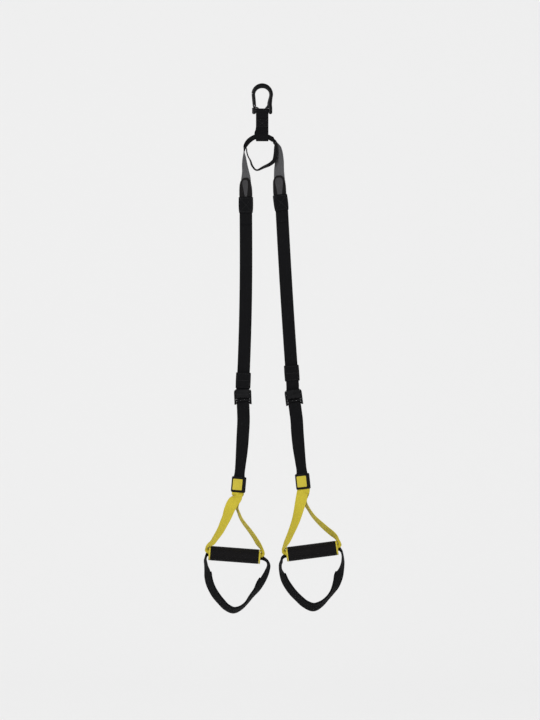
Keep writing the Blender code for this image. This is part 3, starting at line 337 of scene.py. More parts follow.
# Shares of a side plate's front or back reach, and of its top or foot reach
PLATE_SHARES = ((1.0, 0.72), (0.75, 1.0), (-0.62, 1.0), (-0.92, 0.74), (-1.0, 0.25), (-0.97, -0.18),
                (-0.42, -0.66), (-0.33, -0.86), (-0.24, -1.0), (0.75, -1.0), (1.0, -0.85), (1.0, -0.3))

Y_AXIS = Vector((0, 1, 0))
FRONT_PLANE = Matrix.Rotation(math.radians(90), 4, "X")
SIDE_PLANE = Matrix(((0, 0, 1, 0), (1, 0, 0, 0), (0, 1, 0, 0), (0, 0, 0, 1)))
ALONG_X = Matrix.Rotation(math.radians(90), 4, "Y")
UV = "Webbing"


# Settings


def size_property(label, note, default):
    """A length that a user may change."""
    return bpy.props.FloatProperty(name=label, description=note, default=default, min=0.0, unit="LENGTH",
                                   precision=5)


def colour_property(label, note, default):
    """A colour that a user may change."""
    return bpy.props.FloatVectorProperty(name=label, description=note, default=default, min=0.0, max=1.0,
                                         size=3, subtype="COLOR")


class TrainerColours(bpy.types.PropertyGroup):
    """Colours of the trainer's finishes."""

    black_webbing: colour_property("Black webbing", "Straps, sleeves and cradles", (0.0045, 0.0045, 0.0052))
    grey_webbing: colour_property("Grey webbing", "Equalizer arms", (0.080, 0.080, 0.084))
    yellow_webbing: colour_property("Yellow webbing", "Handle loops", (0.51, 0.417, 0.027))
    metal: colour_property("Black metal", "Anodised carabiner and buckles", (0.0032, 0.0032, 0.0038))
    steel: colour_property("Steel", "Pins and springs", (0.42, 0.42, 0.43))
    rubber: colour_property("Black rubber", "Grips, label wraps and patch borders", (0.0052, 0.0047, 0.0049))
    insert: colour_property("Grey insert", "Faces of the wear patches", (0.038, 0.037, 0.039))
    yellow_plastic: colour_property("Yellow plastic", "Grip caps and label panels", (0.44, 0.36, 0.022))
    black_plastic: colour_property("Black plastic", "Grip tubes", (0.015, 0.015, 0.015))
    pad: colour_property("Cradle pad", "Cushioned lining of the foot cradles", (0.0044, 0.0044, 0.005))
    thread: colour_property("Thread", "Black stitching", (0.013, 0.013, 0.015))
    backdrop: colour_property("Backdrop", "Floor and backdrop", (0.863, 0.863, 0.863))


class TrainerSizes(bpy.types.PropertyGroup):
    """Sizes of the trainer's fine detail."""

    rib_across: size_property("Rib pitch", "Distance between two warp yarns", 0.0011)
    rib_along: size_property("Pick pitch", "Length of one float of the weave", 0.0026)
    rib_depth: size_property("Weave depth", "Height of the weave", 0.00022)
    stitch_pitch: size_property("Stitch pitch", "Distance between two stitches", 0.0032)
    stitch_length: size_property("Stitch length", "Length of one stitch", 0.0025)
    thread_radius: size_property("Thread radius", "Half the thread's thickness", 0.00034)
    grip_cell: size_property("Grip texture", "Size of a raised cell of the grip's rubber", 0.0022)
    camera_distance: size_property("Camera distance", "From the camera to the trainer", 6.0)
    frame_height: size_property("Frame height", "Height that the camera takes in", 2.25)


def colours(context):
    """The scene's colours."""
    return context.scene.trainer_colours


def sizes(context):
    """The scene's detail sizes."""
    return context.scene.trainer_sizes


# Paths


def spot(x, z, angle=0.0, y=0.0):
    """A frame at x, y, z, turned anticlockwise in the front view by an angle in degrees."""
    return Matrix.Translation((x, y, z)) @ Matrix.Rotation(-math.radians(angle), 4, "Y")


def arc(x, y, radius, start, end, steps):
    """Points along an arc between two angles in degrees."""
    turns = [math.radians(start + (end - start) * step / steps) for step in range(steps + 1)]
    return [(x + radius * math.cos(turn), y + radius * math.sin(turn)) for turn in turns]


def smooth(stations, steps):
    """Values and directions along a smooth curve through stations that start with x, y, z."""
    table = np.array(stations, float)
    spans = np.linalg.norm(np.diff(table[:, :3], axis=0), axis=1)
    knots = np.concatenate([[0], np.cumsum(spans)])
    slopes = np.gradient(table, knots, axis=0)
    rows = []
    for index, span in enumerate(spans):
        last = index == len(spans) - 1
        start, end = table[index], table[index + 1]
        leaving, arriving = span * slopes[index], span * slopes[index + 1]
        for step in range(steps + last):
            t = step / steps
            value = (
                (2 * t**3 - 3 * t**2 + 1) * start + (t**3 - 2 * t**2 + t) * leaving
                + (3 * t**2 - 2 * t**3) * end + (t**3 - t**2) * arriving
            )
            direction = (
                (6 * t**2 - 6 * t) * (start - end)
                + (3 * t**2 - 4 * t + 1) * leaving + (3 * t**2 - 2 * t) * arriving
            )
            rows.append((value, Vector(direction[:3]).normalized()))
    return rows


def laid(stations, steps=8, across=None):
    """Rows of webbing along stations of (x, y, z, turn, curl): point, side, face and curl.

    A turn of 0 lays the face towards the viewer and 90 shows the edge. With across, a turn
    of 0 keeps the webbing's width along that direction instead.
    """
    rows = []
    for value, direction in smooth(stations, steps):
        flat = Y_AXIS.cross(direction) if across is None else across - across.project(direction)
        side = Matrix.Rotation(math.radians(value[3]), 3, direction) @ flat.normalized()
        rows.append((Vector(value[:3]), side, side.cross(direction), math.radians(value[4])))
    return rows


def folded(path, across, steps):
    """Rows of flat webbing along the points of a fold, with its width along one direction."""
    rows = []
    for value, along in smooth([tuple(point) for point in path], steps):
        side = (across - across.project(along)).normalized()
        rows.append((Vector(value[:3]), side, side.cross(along), 0.0))
    return rows


def shifted(rows, distance):
    """The same rows moved out along the webbing's face."""
    return [(point + face * distance, side, face, curl) for point, side, face, curl in rows]


def rounded_end(rows, width):
    """Rows whose first end is drawn in to a round end; each gets the share of the width left there."""
    start = rows[0][0]
    ended = []
    for point, side, face, curl in rows:
        reach = min(1.0, (point - start).length / (width / 2) + 0.06)
        ended.append((point, side * math.sqrt(1 - (1 - reach) ** 2), face, curl))
    return ended


# Places on the trainer

BOW_DROP = BOW_RADIUS - BOW_TOP_HALF
EYE_INSIDE = WEB_WIDTH / 2 + 2 * GAP
EAR_MIDDLE = EYE_INSIDE + LIMB_HALF
CROWN_INSIDE = CROWN_RADIUS - WEB_THICKNESS / 2
CROWN_OUTSIDE = CROWN_RADIUS + 2 * ROLL_RADIUS + WEB_THICKNESS / 2
FOLD_REACH = WEB_WIDTH / 2 + abs(RING_X)
RETURN_DEPTH = WEB_THICKNESS + ANVIL_THICKNESS + 2 * GAP
PIN_DEPTH = RETURN_DEPTH + WEB_THICKNESS / 2 + GAP + CAM_RADIUS
HALF_GRIP = GRIP_LENGTH / 2 + CAP_THICKNESS
REACH = HALF_GRIP + RIM_BEND
LOOP_ROLL = CAP_BORE - GAP - LOOP_WEB_THICKNESS / 2
CRADLE_ROLL = LOOP_ROLL - LOOP_WEB_THICKNESS / 2 - LAYER_GAP - WEB_THICKNESS / 2
LOOP_CURL = math.degrees(WEB_WIDTH / LOOP_ROLL)
CRADLE_CURL = math.degrees(WEB_WIDTH / CRADLE_ROLL)


def ring_point(angle, radius):
    """A point on the ring at an angle in degrees, anticlockwise from +X in the front view."""
    turn = math.radians(angle)
    return RING_X + radius * math.cos(turn), 0, radius * math.sin(turn) - RING_DROP


def crown_span(side):
    """The angles at which a side of the crown leaves the fold and ends."""
    size = SIDES[side]
    edge = size["out"] * (WEB_WIDTH / 2 + SWING_GAP) - RING_X
    gap_angle = math.degrees(SWING_GAP / 2 / size["pivot_radius"])
    return math.degrees(math.acos(edge / CROWN_RADIUS)), size["pivot_angle"] + size["out"] * gap_angle


def crown_open(side, share):
    """How far the crown has opened from its roll, at a share of the way from the fold to a side's end."""
    fold, last = crown_span(side)
    rolled = SLIP_ANGLE / abs(last - fold)
    return min(1.0, max(0, share - rolled) / (1 - rolled))


def crown_radius(side, share):
    """The radius of the crown's path at a share of the way from the fold to a side's end."""
    return CROWN_RADIUS + (SIDES[side]["pivot_radius"] - CROWN_RADIUS) * crown_open(side, share) ** 3


def sleeve_frame(side):
    """The mouth of a side's top sleeve, with local Z up the sleeve."""
    size = SIDES[side]
    return spot(RING_X + size["sleeve_side"], -RING_DROP - size["sleeve_drop"], size["sleeve_lean"])


def patch_frame(side):
    """The foot of a side's wear patch, just above the sleeve."""
    foot = sleeve_frame(side) @ Vector((0, 0, SLEEVE_LENGTH + GAP))
    return spot(foot.x, foot.z, SIDES[side]["patch_lean"])


def strap_point(side, distance):
    """A point on a side's main strap, at a distance down from the sleeve's mouth."""
    size = SIDES[side]
    mouth = sleeve_frame(side).translation
    bow = size["strap_bow"] * math.sin(math.pi * distance / size["strap_length"])
    return spot(mouth.x, mouth.z, size["strap_lean"]) @ Vector((bow, 0, -distance))


def strap_heading(side, distance):
    """The lean of a side's main strap, at a distance down from the sleeve's mouth."""
    size = SIDES[side]
    slope = size["strap_bow"] * math.pi / size["strap_length"]
    slope *= math.cos(math.pi * distance / size["strap_length"])
    return size["strap_lean"] + math.degrees(math.atan(slope))


def buckle_frame(side):
    """The middle of a side's buckle at the height of the cam pin, in the plane of the main strap."""
    size = SIDES[side]
    middle = strap_point(side, size["strap_length"])
    return spot(middle.x, middle.z, size["buckle_lean"])


def crossbar_frame(side):
    """The middle of a side's lower crossbar."""
    return buckle_frame(side) @ Matrix.Translation((0, 0, -CROSSBAR_DROP))


def tab_frame(side):
    """The middle of a side's adjustment tab."""
    distance = SIDES[side]["strap_length"] - SIDES[side]["tab_height"]
    middle = strap_point(side, distance)
    return spot(middle.x, middle.z, strap_heading(side, distance), -RETURN_DEPTH / 2)


def label_frame(side):
    """The middle of a side's label box."""
    size = SIDES[side]
    bar = crossbar_frame(side).translation
    return spot(bar.x + size["label_side"], bar.z - size["label_drop"], size["label_lean"])


def grip_frame(side):
    """The middle of a side's grip, with local X along it."""
    size = SIDES[side]
    label = label_frame(side).translation
    return spot(label.x + size["grip_side"], label.z - size["grip_drop"], size["grip_tilt"])


def moved(at, x=0.0, y=0.0, z=0.0):
    """A frame moved along its own axes."""
    return at @ Matrix.Translation((x, y, z))


def station(at, x=0.0, y=0.0, z=0.0, turn=0.0, curl=0.0):
    """A station of webbing at a place in a frame."""
    return (*(at @ Vector((x, y, z))), turn, curl)


# Mesh making


def dressed(node=None):
    """Hide the node that a piece replaces, if one is given."""
    if node:
        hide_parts(node)


def mounted(piece, body, node=None):
    """Fix a piece to a body, in the place of a node if one is given."""
    dressed(node)
    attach(piece, body)


def blended(piece, node):
    """Bake a piece's transform into its mesh, in the place of a node."""
    dressed(node)
    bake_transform(piece)


def placed(name, data):
    """An object in the scene, made from its data."""
    made = bpy.data.objects.new(name, data)
    bpy.context.scene.collection.objects.link(made)
    return made


def evaluated(made):
    """A mesh of an object as its modifiers leave it."""
    bpy.context.view_layer.update()
    return bpy.data.meshes.new_from_object(made.evaluated_get(bpy.context.evaluated_depsgraph_get()))


def piece_of(name, points, faces, texture, finish):
    """A smooth mesh object with metres across and along it as its texture coordinates."""
    mesh = bpy.data.meshes.new(name)
    mesh.from_pydata([tuple(point) for point in points], [], faces)
    layer = mesh.uv_layers.new(name=UV)
    corners = np.array([loop.vertex_index for loop in mesh.loops])
    layer.uv.foreach_set("vector", np.asarray(texture, np.float32)[corners].ravel())
    mesh.shade_smooth()
    mesh.materials.append(bpy.data.materials[finish])
    return placed(name, mesh)


def tube_faces(rows, around, looped=False):
    """Quads between rings of points, with a cap at each end, or with the last ring joined to the first."""
    spans = [(row * around, (row + 1) * around) for row in range(rows - 1)]
    if looped:
        spans.append(((rows - 1) * around, 0))
    faces = [
        (low + step, low + (step + 1) % around, high + (step + 1) % around, high + step)
        for low, high in spans for step in range(around)
    ]
    if not looped:
        faces += [tuple(range(around))[::-1], tuple(range((rows - 1) * around, rows * around))]
    return faces


def section(columns, squareness):
    """A flat closed cross-section: shares of the width and of the thickness, round once."""
    turns = np.linspace(-1, 1, columns + 1)
    across = np.sin(np.pi / 2 * turns)
    high = np.clip(1 - np.abs(across) ** squareness, 0, None) ** (1 / 2.6)
    return np.concatenate([across, across[-2:0:-1]]), np.concatenate([high, -high[-2:0:-1]])


class Strip:
    """Webbing laid along rows, from which its surface and its stitching are made."""

    def __init__(self, rows, width, thickness, crown=0.0):
        self.points = np.array([row[0] for row in rows])
        self.sides = np.array([row[1] for row in rows])
        self.faces = np.array([row[2] for row in rows])
        self.curls = np.array([row[3] for row in rows])
        self.width, self.thickness, self.crown = width, thickness, crown
        steps = np.linalg.norm(np.diff(self.points, axis=0), axis=1)
        self.lengths = np.concatenate([[0], np.cumsum(steps)])
        self.length = self.lengths[-1]

    def bend(self, index, across, high):
        """Points on one row at distances across the webbing and above its middle."""
        curl, side, face = self.curls[index], self.sides[index], self.faces[index]
        across, high = np.asarray(across, float), np.asarray(high, float)
        if abs(curl) > 0.001:
            radius = self.width / curl
            turn = across / radius
            out, up = (radius - high) * np.sin(turn), radius - (radius - high) * np.cos(turn)
        else:
            out, up = across, high
        return self.points[index] + out[..., None] * side + up[..., None] * face

    def at(self, across, along, high):
        """One point on the webbing at a distance along it."""
        index = int(np.clip(np.searchsorted(self.lengths, along) - 1, 0, len(self.lengths) - 2))
        share = (along - self.lengths[index]) / (self.lengths[index + 1] - self.lengths[index])
        first, second = self.bend(index, across, high), self.bend(index + 1, across, high)
        return Vector(first + (second - first) * share)

    def build(self, name, finish, columns=16, squareness=14.0, end_round=True, drawn=None):
        """The webbing as a closed mesh; drawn gives the shares of the thickness along it."""
        across, high = section(columns, squareness)
        swell = 1 + self.crown * (1 - across**2)
        points, texture = [], []
        count = len(self.points)
        for index in range(count):
            share = 1.0 if drawn is None else drawn[index]
            if end_round and index in (0, count - 1):
                share *= 0.45
            rise = high * swell * share * self.thickness / 2
            points.append(self.bend(index, across * self.width / 2, rise))
            texture += [(value * self.width / 2, self.lengths[index]) for value in across]
        return piece_of(name, np.concatenate(points), tube_faces(count, len(across)), texture, finish)


def stitch_points(start, end, pitch):
    """The starts of stitches evenly along a line."""
    start, end = np.array(start), np.array(end)
    count = max(1, round(np.linalg.norm(end - start) / pitch))
    return [(start + (end - start) * step / count, start + (end - start) * (step + 1) / count)
            for step in range(count)]


def stitched(name, strip, lines, context, face=1):
    """Rows of thread along lines of (across, along) on a strip's face."""
    size = sizes(context)
    radius, pitch = size.thread_radius, size.stitch_pitch
    share = size.stitch_length / pitch
    points, faces, texture = [], [], []
    high = face * strip.thickness / 2
    for start, end in (pair for line in zip(lines[::2], lines[1::2]) for pair in stitch_points(*line, pitch)):
        begin = strip.at(*start, high)
        finish = strip.at(*(start + (end - start) * share), high)
        up = (strip.at(*start, high + face * 0.001) - begin).normalized()
        way = finish - begin
        out = way.normalized().cross(up)
        base = len(points)
        for at, rise, wide in STITCH_SHAPE:
            middle = begin + way * at + up * rise * radius
            for turn in range(THREAD_SIDES):
                angle = math.tau * turn / THREAD_SIDES
                points.append(middle + radius * wide * (out * math.cos(angle) + up * math.sin(angle)))
                texture.append((radius * turn, way.length * at))
        quads = tube_faces(len(STITCH_SHAPE), THREAD_SIDES)
        faces += [tuple(base + corner for corner in quad) for quad in quads]
    return piece_of(name, points, faces, texture, "thread")


def box_of_stitches(width, start, end, cross=True):
    """Lines of a sewn box, with a cross in it."""
    half = width / 2
    corners = ((-half, start), (half, start), (half, end), (-half, end))
    lines = []
    for index in range(4):
        lines += [corners[index], corners[(index + 1) % 4]]
    if cross:
        lines += [corners[0], corners[2], corners[1], corners[3]]
    return lines


def sew_faces(context, name, at, size, thickness, lines, body):
    """Sew the same lines on the front and back of a wrap, whose size is its width, depth and length."""
    width, depth, length = size
    for end, way in (("front", -1), ("back", 1)):
        rows = laid([station(at, y=way * depth / 2, z=height, turn=0 if way < 0 else 180)
                     for height in (length / 2, 0, -length / 2)], 6)
        sewn = stitched(f"{name}_{end}", Strip(rows, width, thickness), lines, context)
        mounted(sewn, body)


def rounded_box(width, depth, radius, steps=5):
    """A rectangle with round corners."""
    half_x, half_y = width / 2 - radius, depth / 2 - radius
    points = []
    for side_x, side_y, start in ((1, 1, 0), (-1, 1, 90), (-1, -1, 180), (1, -1, 270)):
        points += arc(side_x * half_x, side_y * half_y, radius, start, start + 90, steps)
    return points


def wrap_mesh(name, at, outer, inner, length, finish, edge=0.0012, corner=0.0026, belly=0.0,
              rounding=0.0015, foot=0.0):
    """A sewn wrap: a tube of webbing along local Z, with rolled rims and a belly in its middle."""

    def inset(radius, height):
        reach = min(radius, max(0.0, abs(height) - length / 2 + radius))
        return radius - math.sqrt(radius**2 - reach**2)

    rim = [length / 2 - rounding * (1 - math.cos(math.pi / 2 * step / 9)) for step in range(10)]
    body = [(length / 2 - rounding) * math.cos(math.pi * step / 12) for step in range(1, 12)]
    rings = []
    for height in rim + body + [-height for height in rim[::-1]]:
        swell = belly * (1 - (2 * height / length) ** 2)
        width = outer[0] - 2 * inset(rounding, height) + 2 * swell
        width -= 2 * foot * max(0.0, -2 * height / length) ** 2
        depth = outer[1] - 2 * inset(edge, height) + swell
        rings.append([(x, y, height) for x, y in rounded_box(width, depth, corner)])
    inside = rounded_box(inner[0], inner[1], min(inner) * 0.3)
    rings += [[(x, y, height) for x, y in inside] for height in (edge - length / 2, length / 2 - edge)]
    points, texture = [], []
    for ring in rings:
        run = 0.0
        for index, (x, y, z) in enumerate(ring):
            run += math.dist(ring[index - 1], ring[index]) if index else 0.0
            points.append(at @ Vector((x, y, z)))
            texture.append((run, z))
    faces = [face[::-1] for face in tube_faces(len(rings), len(rings[0]), looped=True)]
    return piece_of(name, points, faces, texture, finish)


def lathe(name, at, profile, finish):
    """A closed form turned about local Z from a profile of (radius, height)."""
    points, texture = [], []
    run = 0.0
    for index, (radius, height) in enumerate(profile):
        if index:
            run += math.dist(profile[index - 1], profile[index])
        for step in range(LATHE_STEPS):
            turn = 2 * math.pi * step / LATHE_STEPS
            points.append(at @ Vector((radius * math.cos(turn), radius * math.sin(turn), height)))
            texture.append((GRIP_RADIUS * turn, run))
    made = piece_of(name, points, tube_faces(len(profile), LATHE_STEPS, looped=True), texture, finish)
    turned_out(made)
    return made


def turned_out(made):
    """Turn a mesh's faces outwards."""
    bm = bmesh.new()
    bm.from_mesh(made.data)
    bmesh.ops.recalc_face_normals(bm, faces=bm.faces)
    bm.to_mesh(made.data)
    bm.free()


def fillet(points, radius, steps):
    """An outline whose corners are rounded."""
    rounded = []
    count = len(points)
    for index in range(count):
        before, corner, after = (Vector(points[(index + way) % count]) for way in (-1, 0, 1))
        reach = min(radius, (before - corner).length * 0.45, (after - corner).length * 0.45)
        first = corner + (before - corner).normalized() * reach
        second = corner + (after - corner).normalized() * reach
        for step in range(steps + 1):
            t = step / steps
            rounded.append(tuple((1 - t) ** 2 * first + 2 * t * (1 - t) * corner + t * t * second))
    return rounded


def rounded_rim(radius, top, edge, steps, way=1):
    """A quarter round from a turned form's top to its side, or to its bore with a way of -1."""
    turns = [math.pi / 2 * step / steps for step in range(steps + 1)]
    return [(radius - way * edge * (1 - math.sin(turn)), top - edge * (1 - math.cos(turn))) for turn in turns]


def slab(name, loops, thickness, at, finish, bevel):
    """A flat outline in local X and Y with holes, extruded along local Z, with round edges."""
    curve = bpy.data.curves.new(name, "CURVE")
    curve.dimensions = "2D"
    curve.fill_mode = "BOTH"
    curve.extrude = thickness / 2 - bevel
    curve.bevel_depth = bevel
    curve.bevel_resolution = 3
    curve.offset = -bevel
    for loop in loops:
        spline = curve.splines.new("POLY")
        spline.points.add(len(loop) - 1)
        for point, (x, y) in zip(spline.points, loop):
            point.co = (x, y, 0, 1)
        spline.use_cyclic_u = True
    shape = placed(name + "_curve", curve)
    mesh = evaluated(shape)
    bpy.data.objects.remove(shape, do_unlink=True)
    bm = bmesh.new()
    bm.from_mesh(mesh)
    bmesh.ops.remove_doubles(bm, verts=bm.verts, dist=0.00001)
    bm.to_mesh(mesh)
    bm.free()
    mesh.transform(at)
    mesh.name = name
    mesh.materials.clear()
    mesh.materials.append(bpy.data.materials[finish])
    made = placed(name, mesh)
    shade_by_angle(made)
    return made


def shade_by_angle(made, angle=32):
    """Smooth faces with sharp edges where the surface turns by more than an angle."""
    made.data.shade_smooth()
    made.data.set_sharp_from_angle(angle=math.radians(angle))


def rod(name, start, end, radius, finish):
    """A round bar between two points, with rounded ends."""
    start, end = Vector(start), Vector(end)
    way = (end - start).normalized()
    out = way.orthogonal().normalized()
    up = way.cross(out)
    length = (end - start).length
    near = [(0, 0.55), (ROD_EDGE * 0.3, 0.85), (ROD_EDGE, 1)]
    rows = near + [(length - along, share) for along, share in near[::-1]]
    points, texture = [], []
    for along, share in rows:
        for step in range(ROD_SIDES):
            turn = 2 * math.pi * step / ROD_SIDES
            inset = radius - ROD_EDGE * (1 - share)
            points.append(start + way * along + inset * (out * math.cos(turn) + up * math.sin(turn)))
            texture.append((radius * turn, along))
    made = piece_of(name, points, tube_faces(len(rows), ROD_SIDES), texture, finish)
    turned_out(made)
    shade_by_angle(made, 40)
    return made


def rounded_top(made, at, half, top, radius):
    """Bring the outer faces of a form down towards its top corners, as an outline with round shoulders."""
    back = at.inverted()
    for vertex in made.data.vertices:
        place = back @ vertex.co
        out = max(0, abs(place.x) - half + radius) / radius
        if place.z > 0 and out > 0:
            place.z *= 1 - radius / top * (1 - math.sqrt(max(0, 1 - out**2)))
            vertex.co = at @ place


def joined(name, pieces):
    """Several meshes as one piece."""
    bm = bmesh.new()
    for piece in pieces:
        bm.from_mesh(piece.data)
    mesh = bpy.data.meshes.new(name)
    bm.to_mesh(mesh)
    bm.free()
    for material in pieces[0].data.materials:
        mesh.materials.append(material)
    for piece in pieces:
        bpy.data.objects.remove(piece, do_unlink=True)
    return placed(name, mesh)


def cut(made, boxes):
    """Cut boxes out of a mesh; each is a frame and a size."""
    for at, size in boxes:
        bm = bmesh.new()
        bmesh.ops.create_cube(bm, size=1)
        bmesh.ops.scale(bm, vec=size, verts=bm.verts)
        mesh = bpy.data.meshes.new("cut")
        bm.to_mesh(mesh)
        bm.free()
        tool = placed("cut", mesh)
        tool.matrix_world = at
        modifier = made.modifiers.new("cut", "BOOLEAN")
        modifier.operation = "DIFFERENCE"
        modifier.solver = "EXACT"
        modifier.object = tool
        done = evaluated(made)
        made.modifiers.clear()
        made.data = done
        bpy.data.objects.remove(tool, do_unlink=True)
    shade_by_angle(made)


# Materials


class Nodes:
    """A node tree with short calls for its nodes."""

    def __init__(self, tree):
        self.tree = tree

    def new(self, kind, **settings):
        """A node of a kind, with its properties set."""
        node = self.tree.nodes.new(kind)
        for name, value in settings.items():
            setattr(node, name, value)
        return node

    def put(self, socket, value):
        """Link a socket or set a plain value."""
        if isinstance(value, bpy.types.NodeSocket):
            self.tree.links.new(value, socket)
        else:
            socket.default_value = value

    def fill(self, sockets, values):
        """Link or set several sockets, by their names or numbers."""
        for key, value in values.items():
            self.put(sockets[key], value)

    def first(self, kind, inputs=(), **settings):
        """The first output of a new node of a kind, whose first inputs are filled in order."""
        node = self.new(kind, **settings)
        self.fill(node.inputs, dict(enumerate(inputs)))
        return node.outputs[0]

    def sum(self, operation, *values):
        """A Math node's result."""
        return self.first("ShaderNodeMath", values, operation=operation)

    def times(self, *values):
        """The product of two values."""
        return self.sum("MULTIPLY", *values)

    def plus(self, *values):
        """The sum of two values."""
        return self.sum("ADD", *values)

    def span(self, value, low, high, new_low=0.0, new_high=1.0):
        """A value mapped from one range to another, clamped."""
        return self.first("ShaderNodeMapRange", (value, low, high, new_low, new_high))

    def shaders(self, share, first, second):
        """A mix of two shaders."""
        return self.first("ShaderNodeMixShader", (share, first, second))

    def blend(self, share, first, second):
        """A mix of two colours."""
        node = self.new("ShaderNodeMix", data_type="RGBA")
        self.fill(node.inputs, {0: share, 6: first, 7: second})
        return node.outputs[2]

    def noise(self, coordinates, scale, detail=3.0):
        """A noise texture's value."""
        node = self.new("ShaderNodeTexNoise")
        self.fill(node.inputs, {"Vector": coordinates, "Scale": scale, "Detail": detail, "Roughness": 0.55})
        return node.outputs[0]

    def group(self, name, **values):
        """A shared effect placed in this tree."""
        node = self.new("ShaderNodeGroup", node_tree=bpy.data.node_groups[name])
        self.fill(node.inputs, {key.capitalize(): value for key, value in values.items()})
        return node.outputs

    def webbing(self):
        """Metres across and along a piece."""
        return self.new("ShaderNodeUVMap", uv_map=UV).outputs[0]

    def place(self):
        """A place on a piece, in its own space."""
        return self.new("ShaderNodeTexCoord").outputs["Object"]

    def bump(self, shader, height, distance, strength=1.0, under=None):
        """Relief from a height that changes over the surface."""
        node = self.new("ShaderNodeBump")
        values = {"Strength": strength, "Distance": distance, "Height": height}
        self.fill(node.inputs, values if under is None else {**values, "Normal": under})
        self.put(shader.inputs["Normal"], node.outputs[0])
        return node.outputs[0]


def tint(colour, factor=1.0, lift=0.0):
    """A colour made lighter or darker, with full alpha."""
    return (*[min(1.0, value * factor + lift) for value in colour], 1)


def new_group(name, inputs, outputs):
    """A shader node group whose first input is a vector; every other socket is a plain value."""
    tree = bpy.data.node_groups.new(name, "ShaderNodeTree")
    for index, label in enumerate(inputs):
        kind = "NodeSocketFloat" if index else "NodeSocketVector"
        tree.interface.new_socket(name=label, in_out="INPUT", socket_type=kind)
    for label in outputs:
        tree.interface.new_socket(name=label, in_out="OUTPUT", socket_type="NodeSocketFloat")
    nodes = Nodes(tree)
    return nodes, nodes.new("NodeGroupInput").outputs, nodes.new("NodeGroupOutput").inputs


def weave_group():
    """Warp yarns along the webbing that float over staggered picks."""
    nodes, given, result = new_group("Webbing weave", ("Coordinates", "Across", "Along"),
                                     ("Height", "Crevice shade", "Yarn"))
    split = nodes.new("ShaderNodeSeparateXYZ")
    nodes.put(split.inputs[0], given["Coordinates"])
    across = nodes.sum("DIVIDE", split.outputs[0], given["Across"])
    column = nodes.sum("FLOOR", across)
    along = nodes.sum("DIVIDE", split.outputs[1], given["Along"])
    staggered = nodes.plus(along, nodes.times(nodes.sum("PINGPONG", column, 4.0), 0.25))
    step = nodes.sum("FRACT", staggered)
    wide = nodes.sum("SINE", nodes.times(nodes.sum("FRACT", across), math.pi))
    long = nodes.sum("SINE", nodes.times(step, math.pi))
    height = nodes.times(nodes.sum("POWER", wide, 0.6), nodes.sum("POWER", long, 0.35))
    cell = nodes.first("ShaderNodeCombineXYZ", (column, nodes.sum("FLOOR", staggered)))
    yarn = nodes.first("ShaderNodeTexWhiteNoise", (cell,), noise_dimensions="2D")
    # Painted shade: 1 where the yarns dip between their floats and 0 on their tops; it darkens the webbing's
    # colour in these crevices.
    crevice_shade = nodes.span(height, 0.15, 0.75, 1.0, 0.0)
    nodes.fill(result, {"Height": height, "Crevice shade": crevice_shade, "Yarn": yarn})


def wear_group():
    """Rubbed edges: the sharp outer edges of a form, broken up by noise."""
    nodes, given, result = new_group("Edge wear", ("Coordinates", "Amount"), ("Mask",))
    point = nodes.new("ShaderNodeNewGeometry").outputs["Pointiness"]
    sharp = nodes.span(point, 0.505, 0.60)
    patch = nodes.span(nodes.noise(given["Coordinates"], 260.0, 4.0), 0.38, 0.62)
    nodes.put(result["Mask"], nodes.times(nodes.times(sharp, patch), given["Amount"]))


def grain_group():
    """Fine grain and broad blotches, for moulded rubber, plastic and anodised metal."""
    nodes, given, result = new_group("Surface grain", ("Coordinates",), ("Fine", "Broad", "Scratches"))
    place = given["Coordinates"]
    stretched = nodes.new("ShaderNodeMapping")
    nodes.fill(stretched.inputs, {0: place, "Rotation": (0.4, 0.3, 0.7), "Scale": (1.0, 9.0, 14.0)})
    nodes.fill(result, {
        "Fine": nodes.noise(place, 1800.0, 2.0),
        "Broad": nodes.noise(place, 38.0, 4.0),
        "Scratches": nodes.span(nodes.noise(stretched.outputs[0], 160.0), 0.62, 0.70),
    })


def cells_group():
    """Rows of raised, rounded cells with channels in between."""
    nodes, given, result = new_group("Raised cells", ("Coordinates", "Pitch"), ("Height",))
    split = nodes.new("ShaderNodeSeparateXYZ")
    nodes.put(split.inputs[0], given["Coordinates"])
    both = []
    for sign in (1.0, -1.0):
        line = nodes.sum("MULTIPLY_ADD", split.outputs[1], sign, split.outputs[0])
        turn = nodes.times(nodes.sum("DIVIDE", line, given["Pitch"]), math.pi)
        both.append(nodes.span(nodes.sum("ABSOLUTE", nodes.sum("SINE", turn)), 0.1, 0.55))
    nodes.put(result["Height"], nodes.times(*both))


def start_material(name):
    """A material's nodes and its Principled shader."""
    material = bpy.data.materials.new(name)
    material.use_nodes = True
    return Nodes(material.node_tree), material.node_tree.nodes["Principled BSDF"]


def webbing_material(name, colour, size, light=1.35, crevice_shade_tint=0.45, roughness=0.82, sheen=0.005, gloss=0.07):
    """Woven polyester: floats of yarn, painted shade in the crevices between them, slight fading and a soft
    sheen.
    """
    nodes, shader = start_material(name)
    place = nodes.place()
    weave = nodes.group("Webbing weave", coordinates=nodes.webbing(), across=size.rib_across,
                        along=size.rib_along)
    share = nodes.plus(nodes.times(weave["Yarn"], 0.45), nodes.times(nodes.noise(place, 21.0, 4.0), 0.75))
    yarn = nodes.blend(nodes.span(share, 0.2, 1.0), tint(colour, 0.86), tint(colour, light))
    # Painted shade: the base colour darkens towards the shade tint in the weave's crevices, which are also
    # rougher.
    crevice_shade = weave["Crevice shade"]
    nodes.fill(shader.inputs, {
        "Base Color": nodes.blend(nodes.times(crevice_shade, 0.8), yarn, tint(colour, crevice_shade_tint)),
        "Roughness": nodes.span(crevice_shade, 0.0, 1.0, roughness - 0.1, roughness + 0.1),
        "Sheen Weight": sheen,
        "Sheen Roughness": 0.5,
        "Specular IOR Level": gloss,
    })
    fibre = nodes.times(nodes.noise(place, 2600.0, 2.0), 0.25)
    nodes.bump(shader, nodes.plus(weave["Height"], fibre), size.rib_depth)


